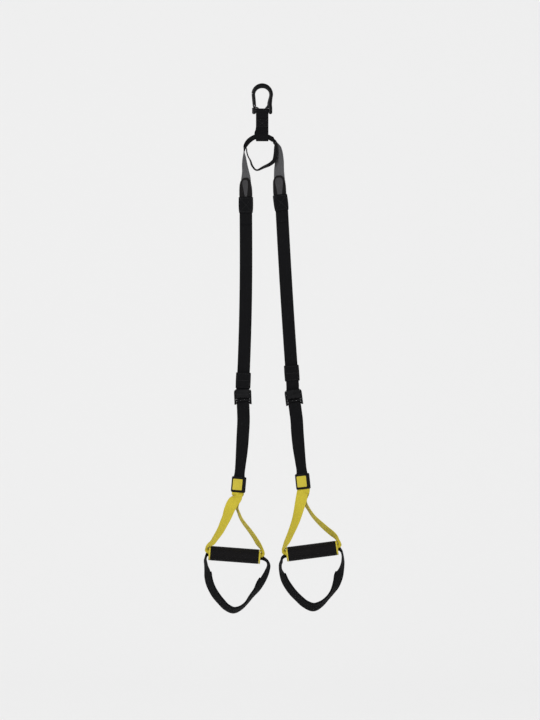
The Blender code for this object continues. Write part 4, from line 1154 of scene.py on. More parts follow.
def metal_material(name, colour, worn, roughness, wear, metallic=1.0):
    """Coated metal: mottled gloss, fine scratches and rubbed edges."""
    nodes, shader = start_material(name)
    place = nodes.place()
    grain = nodes.group("Surface grain", coordinates=place)
    edge = nodes.group("Edge wear", coordinates=place, amount=wear)["Mask"]
    base = nodes.blend(grain["Broad"], tint(colour, 0.8), tint(colour, 1.3))
    rough = nodes.span(grain["Broad"], 0.3, 0.7, roughness - 0.06, roughness + 0.08)
    nodes.fill(shader.inputs, {
        "Base Color": nodes.blend(edge, base, tint(worn)),
        "Roughness": nodes.sum("SUBTRACT", rough, nodes.times(grain["Scratches"], 0.06)),
        "Metallic": metallic,
        "Specular IOR Level": 0.15,
    })
    height = nodes.sum("SUBTRACT", grain["Fine"], nodes.times(grain["Scratches"], 1.2))
    nodes.bump(shader, height, 0.00002, 0.5)


def moulded_material(name, colour, roughness, relief=0.00004, cell=0.0, depth=0.00025, light=1.2, gloss=0.1):
    """Moulded rubber or plastic: pebbled grain, a little dust and, on a grip, raised cells."""
    nodes, shader = start_material(name)
    place = nodes.place()
    grain = nodes.group("Surface grain", coordinates=place)
    edge = nodes.group("Edge wear", coordinates=place, amount=0.35)["Mask"]
    base = nodes.blend(grain["Broad"], tint(colour, 0.88), tint(colour, light))
    nodes.fill(shader.inputs, {
        "Base Color": nodes.blend(edge, base, tint(colour, 1.5, 0.01)),
        "Roughness": nodes.span(grain["Fine"], 0.3, 0.7, roughness - 0.05, roughness + 0.07),
        "Specular IOR Level": gloss,
    })
    under = None
    if cell:
        raised = nodes.group("Raised cells", coordinates=nodes.webbing(), pitch=cell)["Height"]
        under = nodes.bump(shader, raised, depth)
    nodes.bump(shader, grain["Fine"], relief, 0.6, under)


def knit_material(name, colour, size):
    """Brushed knit over foam, for the cradle's pad."""
    nodes, shader = start_material(name)
    weave = nodes.group("Webbing weave", coordinates=nodes.webbing(), across=0.0009, along=0.0013)
    pile = nodes.noise(nodes.place(), 900.0)
    share = nodes.plus(nodes.times(pile, 0.6), nodes.times(weave["Yarn"], 0.4))
    nodes.fill(shader.inputs, {
        "Base Color": nodes.blend(share, tint(colour, 0.7), tint(colour, 1.5)),
        "Roughness": nodes.span(pile, 0.3, 0.7, 0.85, 1.0),
        "Sheen Weight": 0.01,
        "Specular IOR Level": 0.08,
    })
    nodes.bump(shader, nodes.plus(nodes.times(weave["Height"], 0.6), pile), size.rib_depth * 0.8)


def thread_material(name, colour):
    """Twisted thread, with painted shade in the grooves between its plies."""
    nodes, shader = start_material(name)
    wave = nodes.new("ShaderNodeTexWave", bands_direction="DIAGONAL")
    nodes.fill(wave.inputs, {"Vector": nodes.webbing(), "Scale": 900.0})
    twist = wave.outputs[1]
    # Painted shade: the colour follows the twist's relief and is darker in its grooves.
    nodes.fill(shader.inputs, {
        "Base Color": nodes.blend(twist, tint(colour, 0.6), tint(colour, 1.5)),
        "Roughness": 0.6,
    })
    nodes.bump(shader, twist, 0.00008)


class TRAINER_OT_materials(bpy.types.Operator):
    """Make the shared effects and every finish of the trainer"""

    bl_idname = "trainer.materials"
    bl_label = "Materials"

    def execute(self, context):
        colour, size = colours(context), sizes(context)
        weave_group()
        wear_group()
        grain_group()
        cells_group()
        webbing_material("black webbing", colour.black_webbing, size)
        webbing_material("grey webbing", colour.grey_webbing, size, 1.2, 0.5)
        webbing_material("yellow webbing", colour.yellow_webbing, size, 1.1, 0.62, 0.75, 0.03, 0.25)
        metal_material("black metal", colour.metal, (0.035, 0.035, 0.037), 0.36, 0.5, 0.15)
        metal_material("steel", colour.steel, (0.62, 0.62, 0.63), 0.3, 0.5)
        moulded_material("black rubber", colour.rubber, 0.66)
        moulded_material("grip rubber", colour.rubber, 0.68, cell=size.grip_cell)
        moulded_material("grey insert", colour.insert, 0.7, 0.00008, cell=0.0016, depth=0.00012)
        moulded_material("yellow plastic", colour.yellow_plastic, 0.42, 0.00002, light=1.06, gloss=0.4)
        moulded_material("black plastic", colour.black_plastic, 0.5)
        knit_material("cradle pad", colour.pad, size)
        thread_material("thread", colour.thread)
        return {"FINISHED"}


# Carabiner


def swept(name, stations, finish, at=None):
    """A forged bar along stations of (x, z, half width), its section rounded; both ends rounded."""
    rows = smooth([(x, 0, z, half) for x, z, half in stations], 8)
    table = [(value, direction, 1.0) for value, direction in rows]
    for step in range(1, FORGED_CAP_STEPS + 1):
        turn = math.pi / 2 * step / FORGED_CAP_STEPS
        first, last = rows[0][0].copy(), rows[-1][0].copy()
        first[:3] -= np.array(rows[0][1]) * first[3] * FORGED_FLAT_REACH * math.sin(turn)
        last[:3] += np.array(rows[-1][1]) * last[3] * FORGED_ROUND_REACH * math.sin(turn)
        table.insert(0, (first, rows[0][1], 1 - 0.2 * (step / FORGED_CAP_STEPS) ** 3))
        table.append((last, rows[-1][1], max(0.04, math.cos(turn))))
    angles = np.linspace(0, 2 * np.pi, FORGED_SIDES, endpoint=False)
    wide, deep = (np.sign(wave) * np.abs(wave) ** (2 / FORGED_SQUARENESS)
                  for wave in (np.cos(angles), np.sin(angles)))
    points, texture, run, last = [], [], 0.0, None
    for value, direction, share in table:
        middle = Vector(value[:3])
        run += 0.0 if last is None else (middle - last).length
        last = middle
        side = Y_AXIS.cross(direction).normalized()
        depth = FRAME_THICKNESS / 2 * share**0.6
        for a, b, angle in zip(wide, deep, angles):
            points.append(middle + side * a * value[3] * share + Y_AXIS * b * depth)
            texture.append((angle * LIMB_HALF, run))
    if at is not None:
        points = [at @ point for point in points]
    made = piece_of(name, points, tube_faces(len(table), len(angles)), texture, finish)
    turned_out(made)
    return made


class TRAINER_OT_carabiner(bpy.types.Operator):
    """Forge the carabiner's frame and gate, with the captive bar, the tang and the gussets"""

    bl_idname = "trainer.carabiner"
    bl_label = "Carabiner"

    def execute(self, context):
        self.forging()
        self.gate()
        return {"FINISHED"}

    def forging(self):
        metal = "black metal"
        bow = []
        for angle in (NOSE_ANGLE, NOSE_ANGLE - 12, 130, 98, 65, 32, 0):
            turn = math.radians(angle)
            half = LIMB_HALF + (BOW_TOP_HALF - LIMB_HALF) * math.sin(turn) ** 2
            bow.append((BOW_RADIUS * math.cos(turn), BOW_RADIUS * math.sin(turn) - BOW_DROP, half))
        spine = [(BOW_RADIUS * x, -BAR_DROP * z, LIMB_HALF * half) for x, z, half in SPINE_SHARES]
        ear_top = -GATE_PIVOT_DROP - GATE_HALF - GATE_GAP
        ear = [(EAR_MIDDLE, z, LIMB_HALF) for z in (ear_top, -BAR_DROP, -BAR_DROP - EAR_LENGTH / 2)]
        body = swept("bow", bow + spine + ear, metal)
        lug = swept("lug", [(-x, z, half) for x, z, half in ear], metal)
        bar = rod("bar", (-EAR_MIDDLE, 0, -BAR_DROP), (EAR_MIDDLE, 0, -BAR_DROP), BAR_RADIUS, metal)
        tang_reach = TANG_RADIUS + GATE_HALF + GATE_GAP + EAR_LENGTH / 2
        outline = arc(0, 0, TANG_RADIUS, 0, 180, 16)
        outline += [(-TANG_RADIUS, -tang_reach), (TANG_RADIUS, -tang_reach)]
        tang = [(x - GATE_PIVOT_SIDE, y - GATE_PIVOT_DROP) for x, y in outline]
        neck = slab("tang", (tang,), TANG_THICKNESS, FRONT_PLANE, metal, THIN_BEVEL)
        gussets = [slab(f"{side}_gusset", (shape,), 0.8 * FRAME_THICKNESS, FRONT_PLANE, metal, GUSSET_BEVEL)
                   for side, shape in GUSSETS.items()]
        piece = joined("carabiner_forging", [body, lug, bar, neck, *gussets])
        shade_by_angle(piece, 50)
        mounted(piece, "carabiner", "carabiner_frame")

    def gate(self):
        nose = math.radians(NOSE_ANGLE)
        top = BOW_DROP - BOW_RADIUS * math.sin(nose) + 2 * GATE_GAP
        across = GATE_PIVOT_SIDE + BOW_RADIUS * math.cos(nose)
        rise = GATE_PIVOT_DROP - top
        bar = [(across * share, rise * share, GATE_HALF) for share in (1, 2 / 3, 1 / 3, 0)]
        at = spot(-GATE_PIVOT_SIDE, -GATE_PIVOT_DROP)
        gate = swept("carabiner_gate_bar", bar, "black metal", at)
        gate.data.transform(Matrix.Diagonal((1, GATE_THICKNESS / FRAME_THICKNESS, 1, 1)))
        fork = (4 * GATE_HALF, TANG_THICKNESS + 2 * GAP, GATE_FORK_LENGTH)
        fork_top = TANG_RADIUS + 3 * GAP
        cut(gate, [(moved(at, z=fork_top - GATE_FORK_LENGTH / 2), fork)])
        mounted(gate, "gate", "carabiner_gate")


class TRAINER_OT_anchor(bpy.types.Operator):
    """Sew the anchor strap round the captive bar and the equalizer's fold"""

    bl_idname = "trainer.anchor"
    bl_label = "Anchor strap"

    def execute(self, context):
        web = "black webbing"
        across = Vector((1, 0, 0))
        half = WEB_THICKNESS / 2
        drop = RING_DROP - BAR_DROP
        fold = ROLL_RADIUS + half + 2 * GAP
        low = math.sqrt(CROWN_INSIDE**2 - FOLD_REACH**2) - drop - 2 * GAP + fold - FOLD_SLACK
        high = CROWN_OUTSIDE - drop + 2 * GAP - fold
        eye, layer, bulge = BAR_RADIUS + GAP + half, half + GAP / 2, fold + half
        neck, shoulder = (layer, high + 2.1 * bulge), (bulge * 0.55, high + 1.1 * bulge)
        path = [(layer, -0.030), (layer, -0.022), (layer * 1.5, -0.014)]
        path += arc(0, 0, eye, -38, 218, 14)
        path += [(-layer * 1.5, -0.014), (-layer, -0.022), (-layer, -0.040)]
        path += [(-neck[0], neck[1]), (-shoulder[0], shoulder[1]), (-bulge, high), (-bulge, low)]
        path += arc(0, low, bulge, 198, 342, 8)
        path += [(bulge, low), (bulge, high), shoulder, neck, (layer, -0.034), (layer, -0.0305)]
        rows = []
        for point, side, face, curl in folded([(0, y, z - BAR_DROP) for y, z in path], across, 3):
            flare = ANCHOR_FLARE * math.exp(-((point.z + ANCHOR_FLARE_DROP) / ANCHOR_FLARE_REACH) ** 2)
            rows.append((point - across * flare / 2, side * (1 + flare / WEB_WIDTH), face, curl))
        main = Strip(rows, ANCHOR_WIDTH, WEB_THICKNESS).build("anchor_webbing", web)
        depth = layer + half + GAP + STITCH_THICKNESS / 2
        cover_rows = laid([(0, -depth, -BAR_DROP - STITCH_START - share * STITCH_LENGTH, 0, 0)
                           for share in (0, 0.3, 0.6)], 6)
        cover = Strip(cover_rows, WEB_WIDTH - 0.001, STITCH_THICKNESS)
        lap = cover.build("anchor_lap", web)
        width, margin = ANCHOR_BOX
        lines = box_of_stitches(width, margin, cover.length - margin)
        sewn = stitched("anchor_stitches", cover, lines, context)
        mounted(main, "anchor", "anchor_strap")
        mounted(lap, "anchor")
        mounted(sewn, "anchor")
        return {"FINISHED"}


class TRAINER_OT_equalizer(bpy.types.Operator):
    """Roll the equalizer's crown through the fold and sew in its stabilizing loop"""

    bl_idname = "trainer.equalizer"
    bl_label = "Equalizer"

    def execute(self, context):
        web = "black webbing"
        full = math.degrees(WEB_WIDTH / ROLL_RADIUS)
        stations, ends = [], []
        for side, shares in (("left", (1.04, 0.96, 0.88, 0.75, 0.5, 0.25, 0)),
                             ("right", (0, 0.25, 0.5, 0.75, 0.88, 0.96, 1.06))):
            fold, last = crown_span(side)
            for share in shares:
                angle = fold + (last - fold) * share
                curl = full * (1 - crown_open(side, share)) ** 0.55
                stations.append((*ring_point(angle, crown_radius(side, share)), -90, curl))
            if side == "left":
                middle = (fold + crown_span("right")[0]) / 2
                stations.append((*ring_point(middle, CROWN_RADIUS), -90, full))
            share = LOCK_SHARES[side]
            radius = crown_radius(side, share) - WEB_THICKNESS / 2 - GAP - LOCK_THICKNESS / 2
            ends.append((*ring_point(fold + (last - fold) * share, radius), 96, 0))
        crown = Strip(laid(stations), WEB_WIDTH, WEB_THICKNESS)
        path = [(*ring_point(angle, RING_RADIUS * share), turn, 0)
                for share, angle, turn in LOCK_SHARES["path"]]
        lock = Strip(laid([ends[0], *path, ends[1]]), LOCK_WIDTH, LOCK_THICKNESS)
        seams = [*CROWN_SEAM_INSETS, *(crown.length - inset for inset in CROWN_SEAM_INSETS[::-1])]
        lines = [(way * CROWN_SEAM_HALF, along) for along in seams for way in (-1, 1)]
        mounted(crown.build("crown_webbing", web, columns=28), "equalizer", "equalizer_crown")
        mounted(lock.build("stabilizing_webbing", web, columns=12), "equalizer",
                "stabilizing_loop")
        mounted(stitched("crown_stitches", crown, lines, context, face=-1), "equalizer")
        return {"FINISHED"}


# Arms


def arm_rows(side):
    """Rows of the grey webbing, the span of rows under the patch, and where the arm leaves the ring."""
    size = SIDES[side]
    out, pivot, radius = size["out"], size["pivot_angle"], size["pivot_radius"]
    steps, lap = 9, math.degrees(ARM_LAP / radius)
    gap_angle = math.degrees(SWING_GAP / 2 / radius)
    start = Vector(ring_point(pivot - out * gap_angle, radius))
    foot = patch_frame(side)
    top = foot @ Vector((0, 0, PATCH_LENGTH + GAP))
    fold, last = crown_span(side)
    outside = radius + 1.15 * WEB_THICKNESS
    curl = math.degrees(WEB_WIDTH / ROLL_RADIUS) * (1 - crown_open(side, 1 - lap / abs(last - fold)))
    stations = [(*ring_point(pivot + out * lap, outside), 90, -out * curl / 4),
                (*ring_point(pivot, outside), 90, 0)]
    for down, across, turn in ARM_SHARES[side]:
        x = start.x + (top.x - start.x) * across
        stations.append((x, 0, start.z + (top.z - start.z) * down, turn, 0))
    first = len(stations) * steps
    for share, turn_share in ((1, 1), (0.75, 0.8), (0.4, 0.3), (0, 0)):
        stations.append(station(foot, z=GAP + PATCH_LENGTH * share, turn=size["patch_turn"] * turn_share))
    last = (len(stations) - 1) * steps
    for share in (0.9, 0.5):
        stations.append(station(sleeve_frame(side), z=SLEEVE_LENGTH * share + GAP / 2))
    return laid(stations, steps), first, last, start


class TRAINER_OT_arms(bpy.types.Operator):
    """Lay each equalizer arm with its wear patch, and sew the sleeve over its foot"""

    bl_idname = "trainer.arms"
    bl_label = "Equalizer arms"

    def execute(self, context):
        for side in SIDES:
            self.arm(side)
            self.sleeve(context, side)
        return {"FINISHED"}

    def arm(self, side):
        lead = f"{side}_lead"
        rows, first, last, start = arm_rows(side)
        strip = Strip(rows, WEB_WIDTH, WEB_THICKNESS)
        grey = strip.build(f"{side}_arm_webbing", "grey webbing")
        blended(grey, f"{side}_equalizer_arm")

        patch = rows[first:last + 1]
        patch_out = WEB_THICKNESS / 2 + LAYER_GAP * 0.4 + PATCH_THICKNESS / 2
        border = Strip(rounded_end(shifted(patch, patch_out), PATCH_WIDTH), PATCH_WIDTH, PATCH_THICKNESS)
        mounted(border.build(f"{side}_patch_border", "black rubber", squareness=5), lead,
                f"{side}_wear_patch")
        insert_out = patch_out + PATCH_THICKNESS / 2 + INSERT_THICKNESS * 0.15
        top, foot = (share * PATCH_WIDTH for share in INSERT_SHARES[side])
        inner = rounded_end(shifted(patch[4:], insert_out), top)
        inner = [(point, across * (1 - (1 - foot / top) * index / len(inner)), face, curl)
                 for index, (point, across, face, curl) in enumerate(inner)]
        insert = Strip(inner, top, INSERT_THICKNESS, crown=0.2)
        mounted(insert.build(f"{side}_patch_face", "grey insert", squareness=6), lead,
                f"{side}_patch_insert")

    def sleeve(self, context, side):
        middle = moved(sleeve_frame(side), z=SLEEVE_LENGTH / 2)
        wrap = wrap_mesh(f"{side}_sleeve_wrap", middle, (SLEEVE_WIDTH, SLEEVE_DEPTH), STRAP_OPENING,
                         SLEEVE_LENGTH, "black webbing", belly=0.0004, rounding=0.0028,
                         foot=0.0015)
        mounted(wrap, f"{side}_lead", f"{side}_top_sleeve")
        width, margin = SLEEVE_BOX
        lines = box_of_stitches(width, margin, SLEEVE_LENGTH - margin)
        sew_faces(context, f"{side}_sleeve_stitches", middle, (SLEEVE_WIDTH, SLEEVE_DEPTH, SLEEVE_LENGTH),
                  SLEEVE_THREAD_LIFT, lines, f"{side}_lead")


class TRAINER_OT_straps(bpy.types.Operator):
    """Lay the long straps, their way through the buckles and the adjustment tabs"""

    bl_idname = "trainer.straps"
    bl_label = "Main straps"

    def execute(self, context):
        for side in SIDES:
            self.long_strap(side)
            self.strap_end(side)
            self.tab(context, side)
        return {"FINISHED"}

    def long_strap(self, side):
        size = SIDES[side]
        mouth = sleeve_frame(side)
        hidden = size["strap_length"] - size["tab_height"]
        foot = size["strap_length"] - 3 * ANVIL_TOP / 2
        above, below = hidden - NECK_LENGTH, foot - hidden - GAP

        neck = [station(mouth, z=SLEEVE_LENGTH / 2 - GAP / 2)]
        neck += [(*strap_point(side, distance), 0, 0) for distance in (0, 0.010, 0.020, NECK_LENGTH)]
        tail = [(*strap_point(side, hidden + GAP + below * step / 3), 0, 0) for step in range(4)]
        tail += [station(buckle_frame(side), z=ANVIL_TOP * share) for share in (1, 1 / 2)]
        long = [(*strap_point(side, NECK_LENGTH + above * step / 12), 0, 0) for step in range(13)]
        pieces = []
        for name, stations, steps in (("neck", neck, 8), ("tail", tail, 6), ("webbing", long, 6)):
            strip = Strip(laid(stations, steps), STRAP_WIDTH, WEB_THICKNESS)
            pieces.append(strip.build(f"{side}_strap_{name}", "black webbing", end_round=False))
        neck_piece, tail_piece, strap = pieces
        blended(neck_piece,
                f"{side}_main_strap")
        mounted(tail_piece, f"{side}_buckle", f"{side}_main_strap")
        mounted(strap, f"{side}_strap", f"{side}_main_strap")
        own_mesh(strap)

    def strap_end(self, side):
        at = buckle_frame(side)
        across = at.to_3x3() @ Vector((1, 0, 0))
        radius = RETURN_DEPTH / 2
        points = [(0, ANVIL_TOP / 2 - 2 * GAP), (0, 0), (0, -ANVIL_FOOT * 0.6), (0, -ANVIL_FOOT)]
        points += [(y - radius, z - ANVIL_FOOT) for y, z in arc(0, 0, radius, 0, -180, 8)][1:]
        points += [(-RETURN_DEPTH, height) for height in (-ANVIL_FOOT * 0.85, -ANVIL_FOOT * 0.5, 0,
                                                          ANVIL_TOP * 0.55)]
        path = [at @ Vector((0, y, z)) for y, z in points]
        knee = path[-1]
        tab = moved(tab_frame(side), y=-RETURN_DEPTH / 2)
        path += [tab @ Vector((0, 0, TAB_LENGTH * share)) for share in (-0.5, 0.1)]
        strip = Strip(folded(path, across, 6), STRAP_WIDTH, WEB_THICKNESS)
        piece = strip.build(f"{side}_return_webbing", "black webbing", end_round=False)
        end = tab @ Vector((0, 0, -TAB_LENGTH / 2))
        if (end - knee).length < SHORTEST_BLEND:
            end = tab @ Vector((0, 0, -TAB_LENGTH / 2 + SHORTEST_BLEND))
        blended(piece, f"{side}_strap_return")

    def tab(self, context, side):
        at = tab_frame(side)
        inner = RETURN_DEPTH + WEB_THICKNESS + 2 * GAP
        depth = inner + 2 * TAB_WALL
        wrap = wrap_mesh(f"{side}_tab_wrap", at, (TAB_WIDTH, depth), (STRAP_WIDTH + TAB_SLACK, inner),
                         TAB_LENGTH, "black webbing", corner=0.0012, belly=0.0004)
        mounted(wrap, f"{side}_tab", f"{side}_adjustment_tab")
        width, margin = TAB_BOX
        lines = box_of_stitches(width, margin, TAB_LENGTH - margin, cross=False)
        lines += [(way * width / 2, TAB_LENGTH / 2) for way in (-1, 1)]
        sew_faces(context, f"{side}_tab_stitches", at, (TAB_WIDTH, depth, TAB_LENGTH), TAB_THREAD_LIFT,
                  lines, f"{side}_tab")


class TRAINER_OT_buckles(bpy.types.Operator):
    """Form the cam buckles: side plates, anvil plate, crossbar and thumb lever"""

    bl_idname = "trainer.buckles"
    bl_label = "Cam buckles"

    def execute(self, context):
        for side in SIDES:
            self.body(side)
            self.lever(side)
        return {"FINISHED"}

    def body(self, side):
        metal = "black metal"
        at = buckle_frame(side)
        span = BUCKLE_INSIDE + PLATE_THICKNESS
        profile = [(y * (PLATE_BACK if y > 0 else PLATE_FRONT), z * (PLATE_TOP if z > 0 else PLATE_FOOT))
                   for y, z in PLATE_SHARES]
        profile = fillet(profile[::-1], PLATE_CORNER, 6)
        pieces = [slab(f"{side}_plate_{name}", (profile,), PLATE_THICKNESS,
                       moved(at, x=way * span / 2) @ SIDE_PLANE, metal, PLATE_BEVEL)
                  for name, way in (("in", -1), ("out", 1))]
        top = PLATE_TOP - PLATE_BEVEL
        anvil = rounded_box(ANVIL_THICKNESS, top + ANVIL_FOOT, ANVIL_THICKNESS * 0.45, 4)
        place = moved(at, y=-RETURN_DEPTH / 2, z=(top - ANVIL_FOOT) / 2) @ SIDE_PLANE
        pieces.append(slab(f"{side}_anvil", (anvil,), span, place, metal, 0.0))
        place = moved(at, y=-SKIRT_DEPTH) @ FRONT_PLANE
        skirt = self.skirt(span / 2)
        pieces.append(slab(f"{side}_skirt", (skirt,), SKIRT_THICKNESS, place, metal, THIN_BEVEL))
        bar = crossbar_frame(side)
        ends = [bar @ Vector((way * span / 2, 0, 0)) for way in (-1, 1)]
        pieces.append(rod(f"{side}_crossbar", *ends, CROSSBAR_RADIUS, metal))
        body = joined(f"{side}_buckle_casting", pieces)
        rounded_top(body, at, BUCKLE_INSIDE / 2 + PLATE_THICKNESS, PLATE_TOP, SHOULDER_RADIUS)
        shade_by_angle(body, 35)
        mounted(body, f"{side}_buckle", f"{side}_buckle_body")

    def skirt(self, half):
        notch = SKIRT_NOTCH / 2
        side_in, side_foot = STRAP_WIDTH / 2 + 2 * GAP, PLATE_BEVEL - PLATE_FOOT
        outline = [(-half, side_foot), (-side_in, side_foot), (-side_in, -SKIRT_FOOT), (side_in, -SKIRT_FOOT),
                   (side_in, side_foot), (half, side_foot), (half, -SKIRT_TOP)]
        for middle in (SKIRT_NOTCH_SPREAD, -SKIRT_NOTCH_SPREAD):
            outline += [(middle + notch, -SKIRT_TOP), (middle + notch, -SKIRT_TOP - SKIRT_NOTCH),
                        (middle - notch, -SKIRT_TOP - SKIRT_NOTCH), (middle - notch, -SKIRT_TOP)]
        return outline + [(-half, -SKIRT_TOP)]

    def lever(self, side):
        at = moved(buckle_frame(side), y=-PIN_DEPTH)
        front = [(-LEVER_DEPTH * y, z * (LEVER_TOP if z > 0 else LEVER_FOOT)) for y, z in LEVER_FRONT_SHARES]
        rounded = [(float(value[0]), float(value[1])) for value, _ in smooth([(*p, 0) for p in front], 4)]
        cam = []
        for step in range(CAM_STEPS + 1):
            angle = CAM_HALF_TURN * (2 * step / CAM_STEPS - 1)
            radius = CAM_RADIUS * (1 - CAM_RELIEF_SHARE * max(0, angle) / CAM_HALF_TURN)
            cam.append((radius * math.cos(math.radians(angle)), radius * math.sin(math.radians(angle))))
        inside_top, inside_foot = ((y + LEVER_LIP, z) for y, z in (front[0], front[-1]))
        profile = [inside_foot] + cam + [inside_top] + rounded
        hole = arc(0, 0, CAM_PIN_RADIUS + 0.0001, 0, 345, 23)
        lever = slab(f"{side}_thumb_lever", (profile, hole), LEVER_WIDTH, at @ SIDE_PLANE,
                     "black metal", 0.0)
        reach = 3 * CAM_RADIUS / 2 - 0.65 * CAM_RADIUS
        cuts = [(moved(at, y=reach), (SPRING_POCKET, 3 * CAM_RADIUS, 1.3 * CAM_RADIUS))]
        cuts += [(moved(at, way * NOTCH_SPREAD, -LEVER_DEPTH / 2, -LEVER_FOOT),
                  (NOTCH_WIDTH, 2 * LEVER_DEPTH, 2 * NOTCH_DEPTH)) for way in (-1, 1)]
        cut(lever, cuts)
        bevel = lever.modifiers.new("edges", "BEVEL")
        bevel.width = LEVER_BEVEL
        bevel.segments = 3
        bevel.limit_method = "ANGLE"
        bevel.angle_limit = math.radians(40)
        bevel.harden_normals = True
        mounted(lever, f"{side}_lever", f"{side}_cam_lever")


class TRAINER_OT_lowers(bpy.types.Operator):
    """Fold the lower straps over the crossbars and close them into the label boxes"""

    bl_idname = "trainer.lowers"
    bl_label = "Lower straps and labels"

    def execute(self, context):
        for side in SIDES:
            self.strap(context, side)
            self.label(side)
        return {"FINISHED"}

    def strap(self, context, side):
        at = crossbar_frame(side)
        across = at.to_3x3() @ Vector((1, 0, 0))
        over = CROSSBAR_RADIUS + GAP + WEB_THICKNESS / 2
        layer = (WEB_THICKNESS + GAP) / 2
        back = [(layer, -HAIRPIN_LENGTH), (layer, -0.8 * HAIRPIN_LENGTH), (layer, -0.6 * HAIRPIN_LENGTH),
                (0.75 * over, -2 * over)]
        points = back + arc(0, 0, over, -12, 192, 8) + [(-y, z) for y, z in back[:0:-1]]
        hairpin = folded([at @ Vector((0, y, z)) for y, z in points], across, 4)
        label = label_frame(side)
        stations = [station(at, y=-layer, z=-HAIRPIN_LENGTH)]
        start = at @ Vector((0, -layer, -4 * HAIRPIN_LENGTH / 3))
        mouth = label @ Vector((0, 0, LABEL_LENGTH / 2 + 4 * WEB_THICKNESS))
        for share, turn in ((0, 0), (0.3, 6), (0.6, 20), (0.85, 33), (1, 34)):
            point = start.lerp(mouth, share)
            point.x += SIDES[side]["lower_bow"] * math.sin(math.pi * share)
            stations.append((*point, turn, 0))
        for height, turn in ((LABEL_LENGTH / 2 + WEB_THICKNESS, 30), (LABEL_LENGTH / 4, 0),
                             (WEB_THICKNESS - LABEL_LENGTH / 2, 0)):
            stations.append(station(label, z=height, turn=turn))
        strip = Strip(hairpin + laid(stations, 8, across), STRAP_WIDTH, WEB_THICKNESS)
        mounted(strip.build(f"{side}_lower_webbing", "black webbing"), f"{side}_lower",
                f"{side}_handle_strap")
        sewn_rows = folded([at @ Vector((0, -layer, z)) for z in (-0.012, -0.018, 0.001 - HAIRPIN_LENGTH)],
                           across, 4)
        sewn = stitched(f"{side}_lower_stitches", Strip(sewn_rows, WEB_WIDTH, WEB_THICKNESS),
                        box_of_stitches(*HAIRPIN_BOX), context)
        mounted(sewn, f"{side}_lower")

    def label(self, side):
        at = label_frame(side)
        wrap = wrap_mesh(f"{side}_label_box", at, (LABEL_WIDTH, LABEL_DEPTH), STRAP_OPENING, LABEL_LENGTH,
                         "black rubber", edge=0.001, corner=0.0022, rounding=0.0038)
        mounted(wrap, f"{side}_lower", f"{side}_label_wrap")
        face = moved(at, x=-PANEL_OFFSET, y=-LABEL_DEPTH / 2 - PANEL_THICKNESS / 2) @ FRONT_PLANE
        outline = rounded_box(PANEL_WIDTH, PANEL_LENGTH, PANEL_CORNER, 6)
        panel = slab(f"{side}_label_face", (outline,), PANEL_THICKNESS, face, "yellow plastic",
                     PANEL_BEVEL)
        mounted(panel, f"{side}_lower", f"{side}_label_panel")


def loop_rows(side):
    """Rows of the yellow webbing from the label through the grip and back up."""
    label, grip = label_frame(side), grip_frame(side)
    layer = LOOP_WEB_THICKNESS / 2 + LAYER_GAP
    foot = -LABEL_LENGTH / 2 - GAP
    bend, reach = LOOP_ROLL + LOOP_BEND, HALF_GRIP + LOOP_BEND
    branches = {}
    for end, way in (("left", -1), ("right", 1)):
        start = label @ Vector((0, way * layer, foot))
        rim = grip @ Vector((way * reach, 0, bend))
        stations = [station(label, y=way * layer, z=height) for height in (foot, foot - 0.003)]
        for down, across, turn in BRANCH_SHARES[side][end]:
            parting = way * LOOP_PARTING * math.sin(math.pi * min(1, 2 * down))
            stations.append((start.x + (rim.x - start.x) * across, start.y * (1 - down) + parting,
                             start.z + (rim.z - start.z) * down, turn, 0))
        stations.append(station(grip, way * (reach - 0.0005), z=bend + RIM_RISE, turn=80,
                                curl=0.4 * LOOP_CURL))
        stations.append((*rim, 90, 0.9 * LOOP_CURL))
        for turn in (math.pi / 4, math.pi / 2):
            stations.append(station(grip, way * (reach - LOOP_BEND * (1 - math.cos(turn))),
                                    z=bend - LOOP_BEND * math.sin(turn), turn=90, curl=LOOP_CURL))
        branches[end] = stations
    inside = [station(grip, HALF_GRIP * share, z=LOOP_ROLL, turn=90, curl=LOOP_CURL)
              for share in (-0.97, 0.97)]
    right = [(*row[:3], 180 - row[3], row[4]) for row in branches["right"]]
    return laid(branches["left"] + inside + right[::-1], 10)


def cradle_rows(side):
    """Rows of the foot cradle, and the numbers of its first and last row under the pad."""
    grip, steps = grip_frame(side), 8
    hung = [(REACH * across, -CRADLE_DROP * down, turn, 0) for across, down, turn in CRADLE_SHARES[side]]
    hung[0], hung[-1] = ((*row[:3], 0.08 * CRADLE_CURL) for row in (hung[0], hung[-1]))
    ends = []
    for way, nearest in ((-1, hung[0]), (1, hung[-1])):
        mouth = way * (HALF_GRIP + RIM_BEND / 3)
        inside = [(way * HALF_GRIP * share, -CRADLE_ROLL, 90, CRADLE_CURL) for share in (0.03, 0.97)]
        out = [(mouth + (nearest[0] - mouth) * x, (nearest[1] + CRADLE_ROLL) * z - CRADLE_ROLL, turn,
                CRADLE_CURL * curl)
               for x, z, turn, curl in ((0, 0, 90, 1), (0.34, 0.06, 88, 0.5), (0.77, 0.36, 84, 0.22))]
        ends.append(inside + out)
    stations = [station(grip, x, z=z, turn=turn, curl=curl)
                for x, z, turn, curl in ends[0] + hung + ends[1][::-1]]
    start, end = (round(steps * (len(ends[0]) + place)) for place in PAD_STATIONS[side])
    return laid(stations, steps), start, end


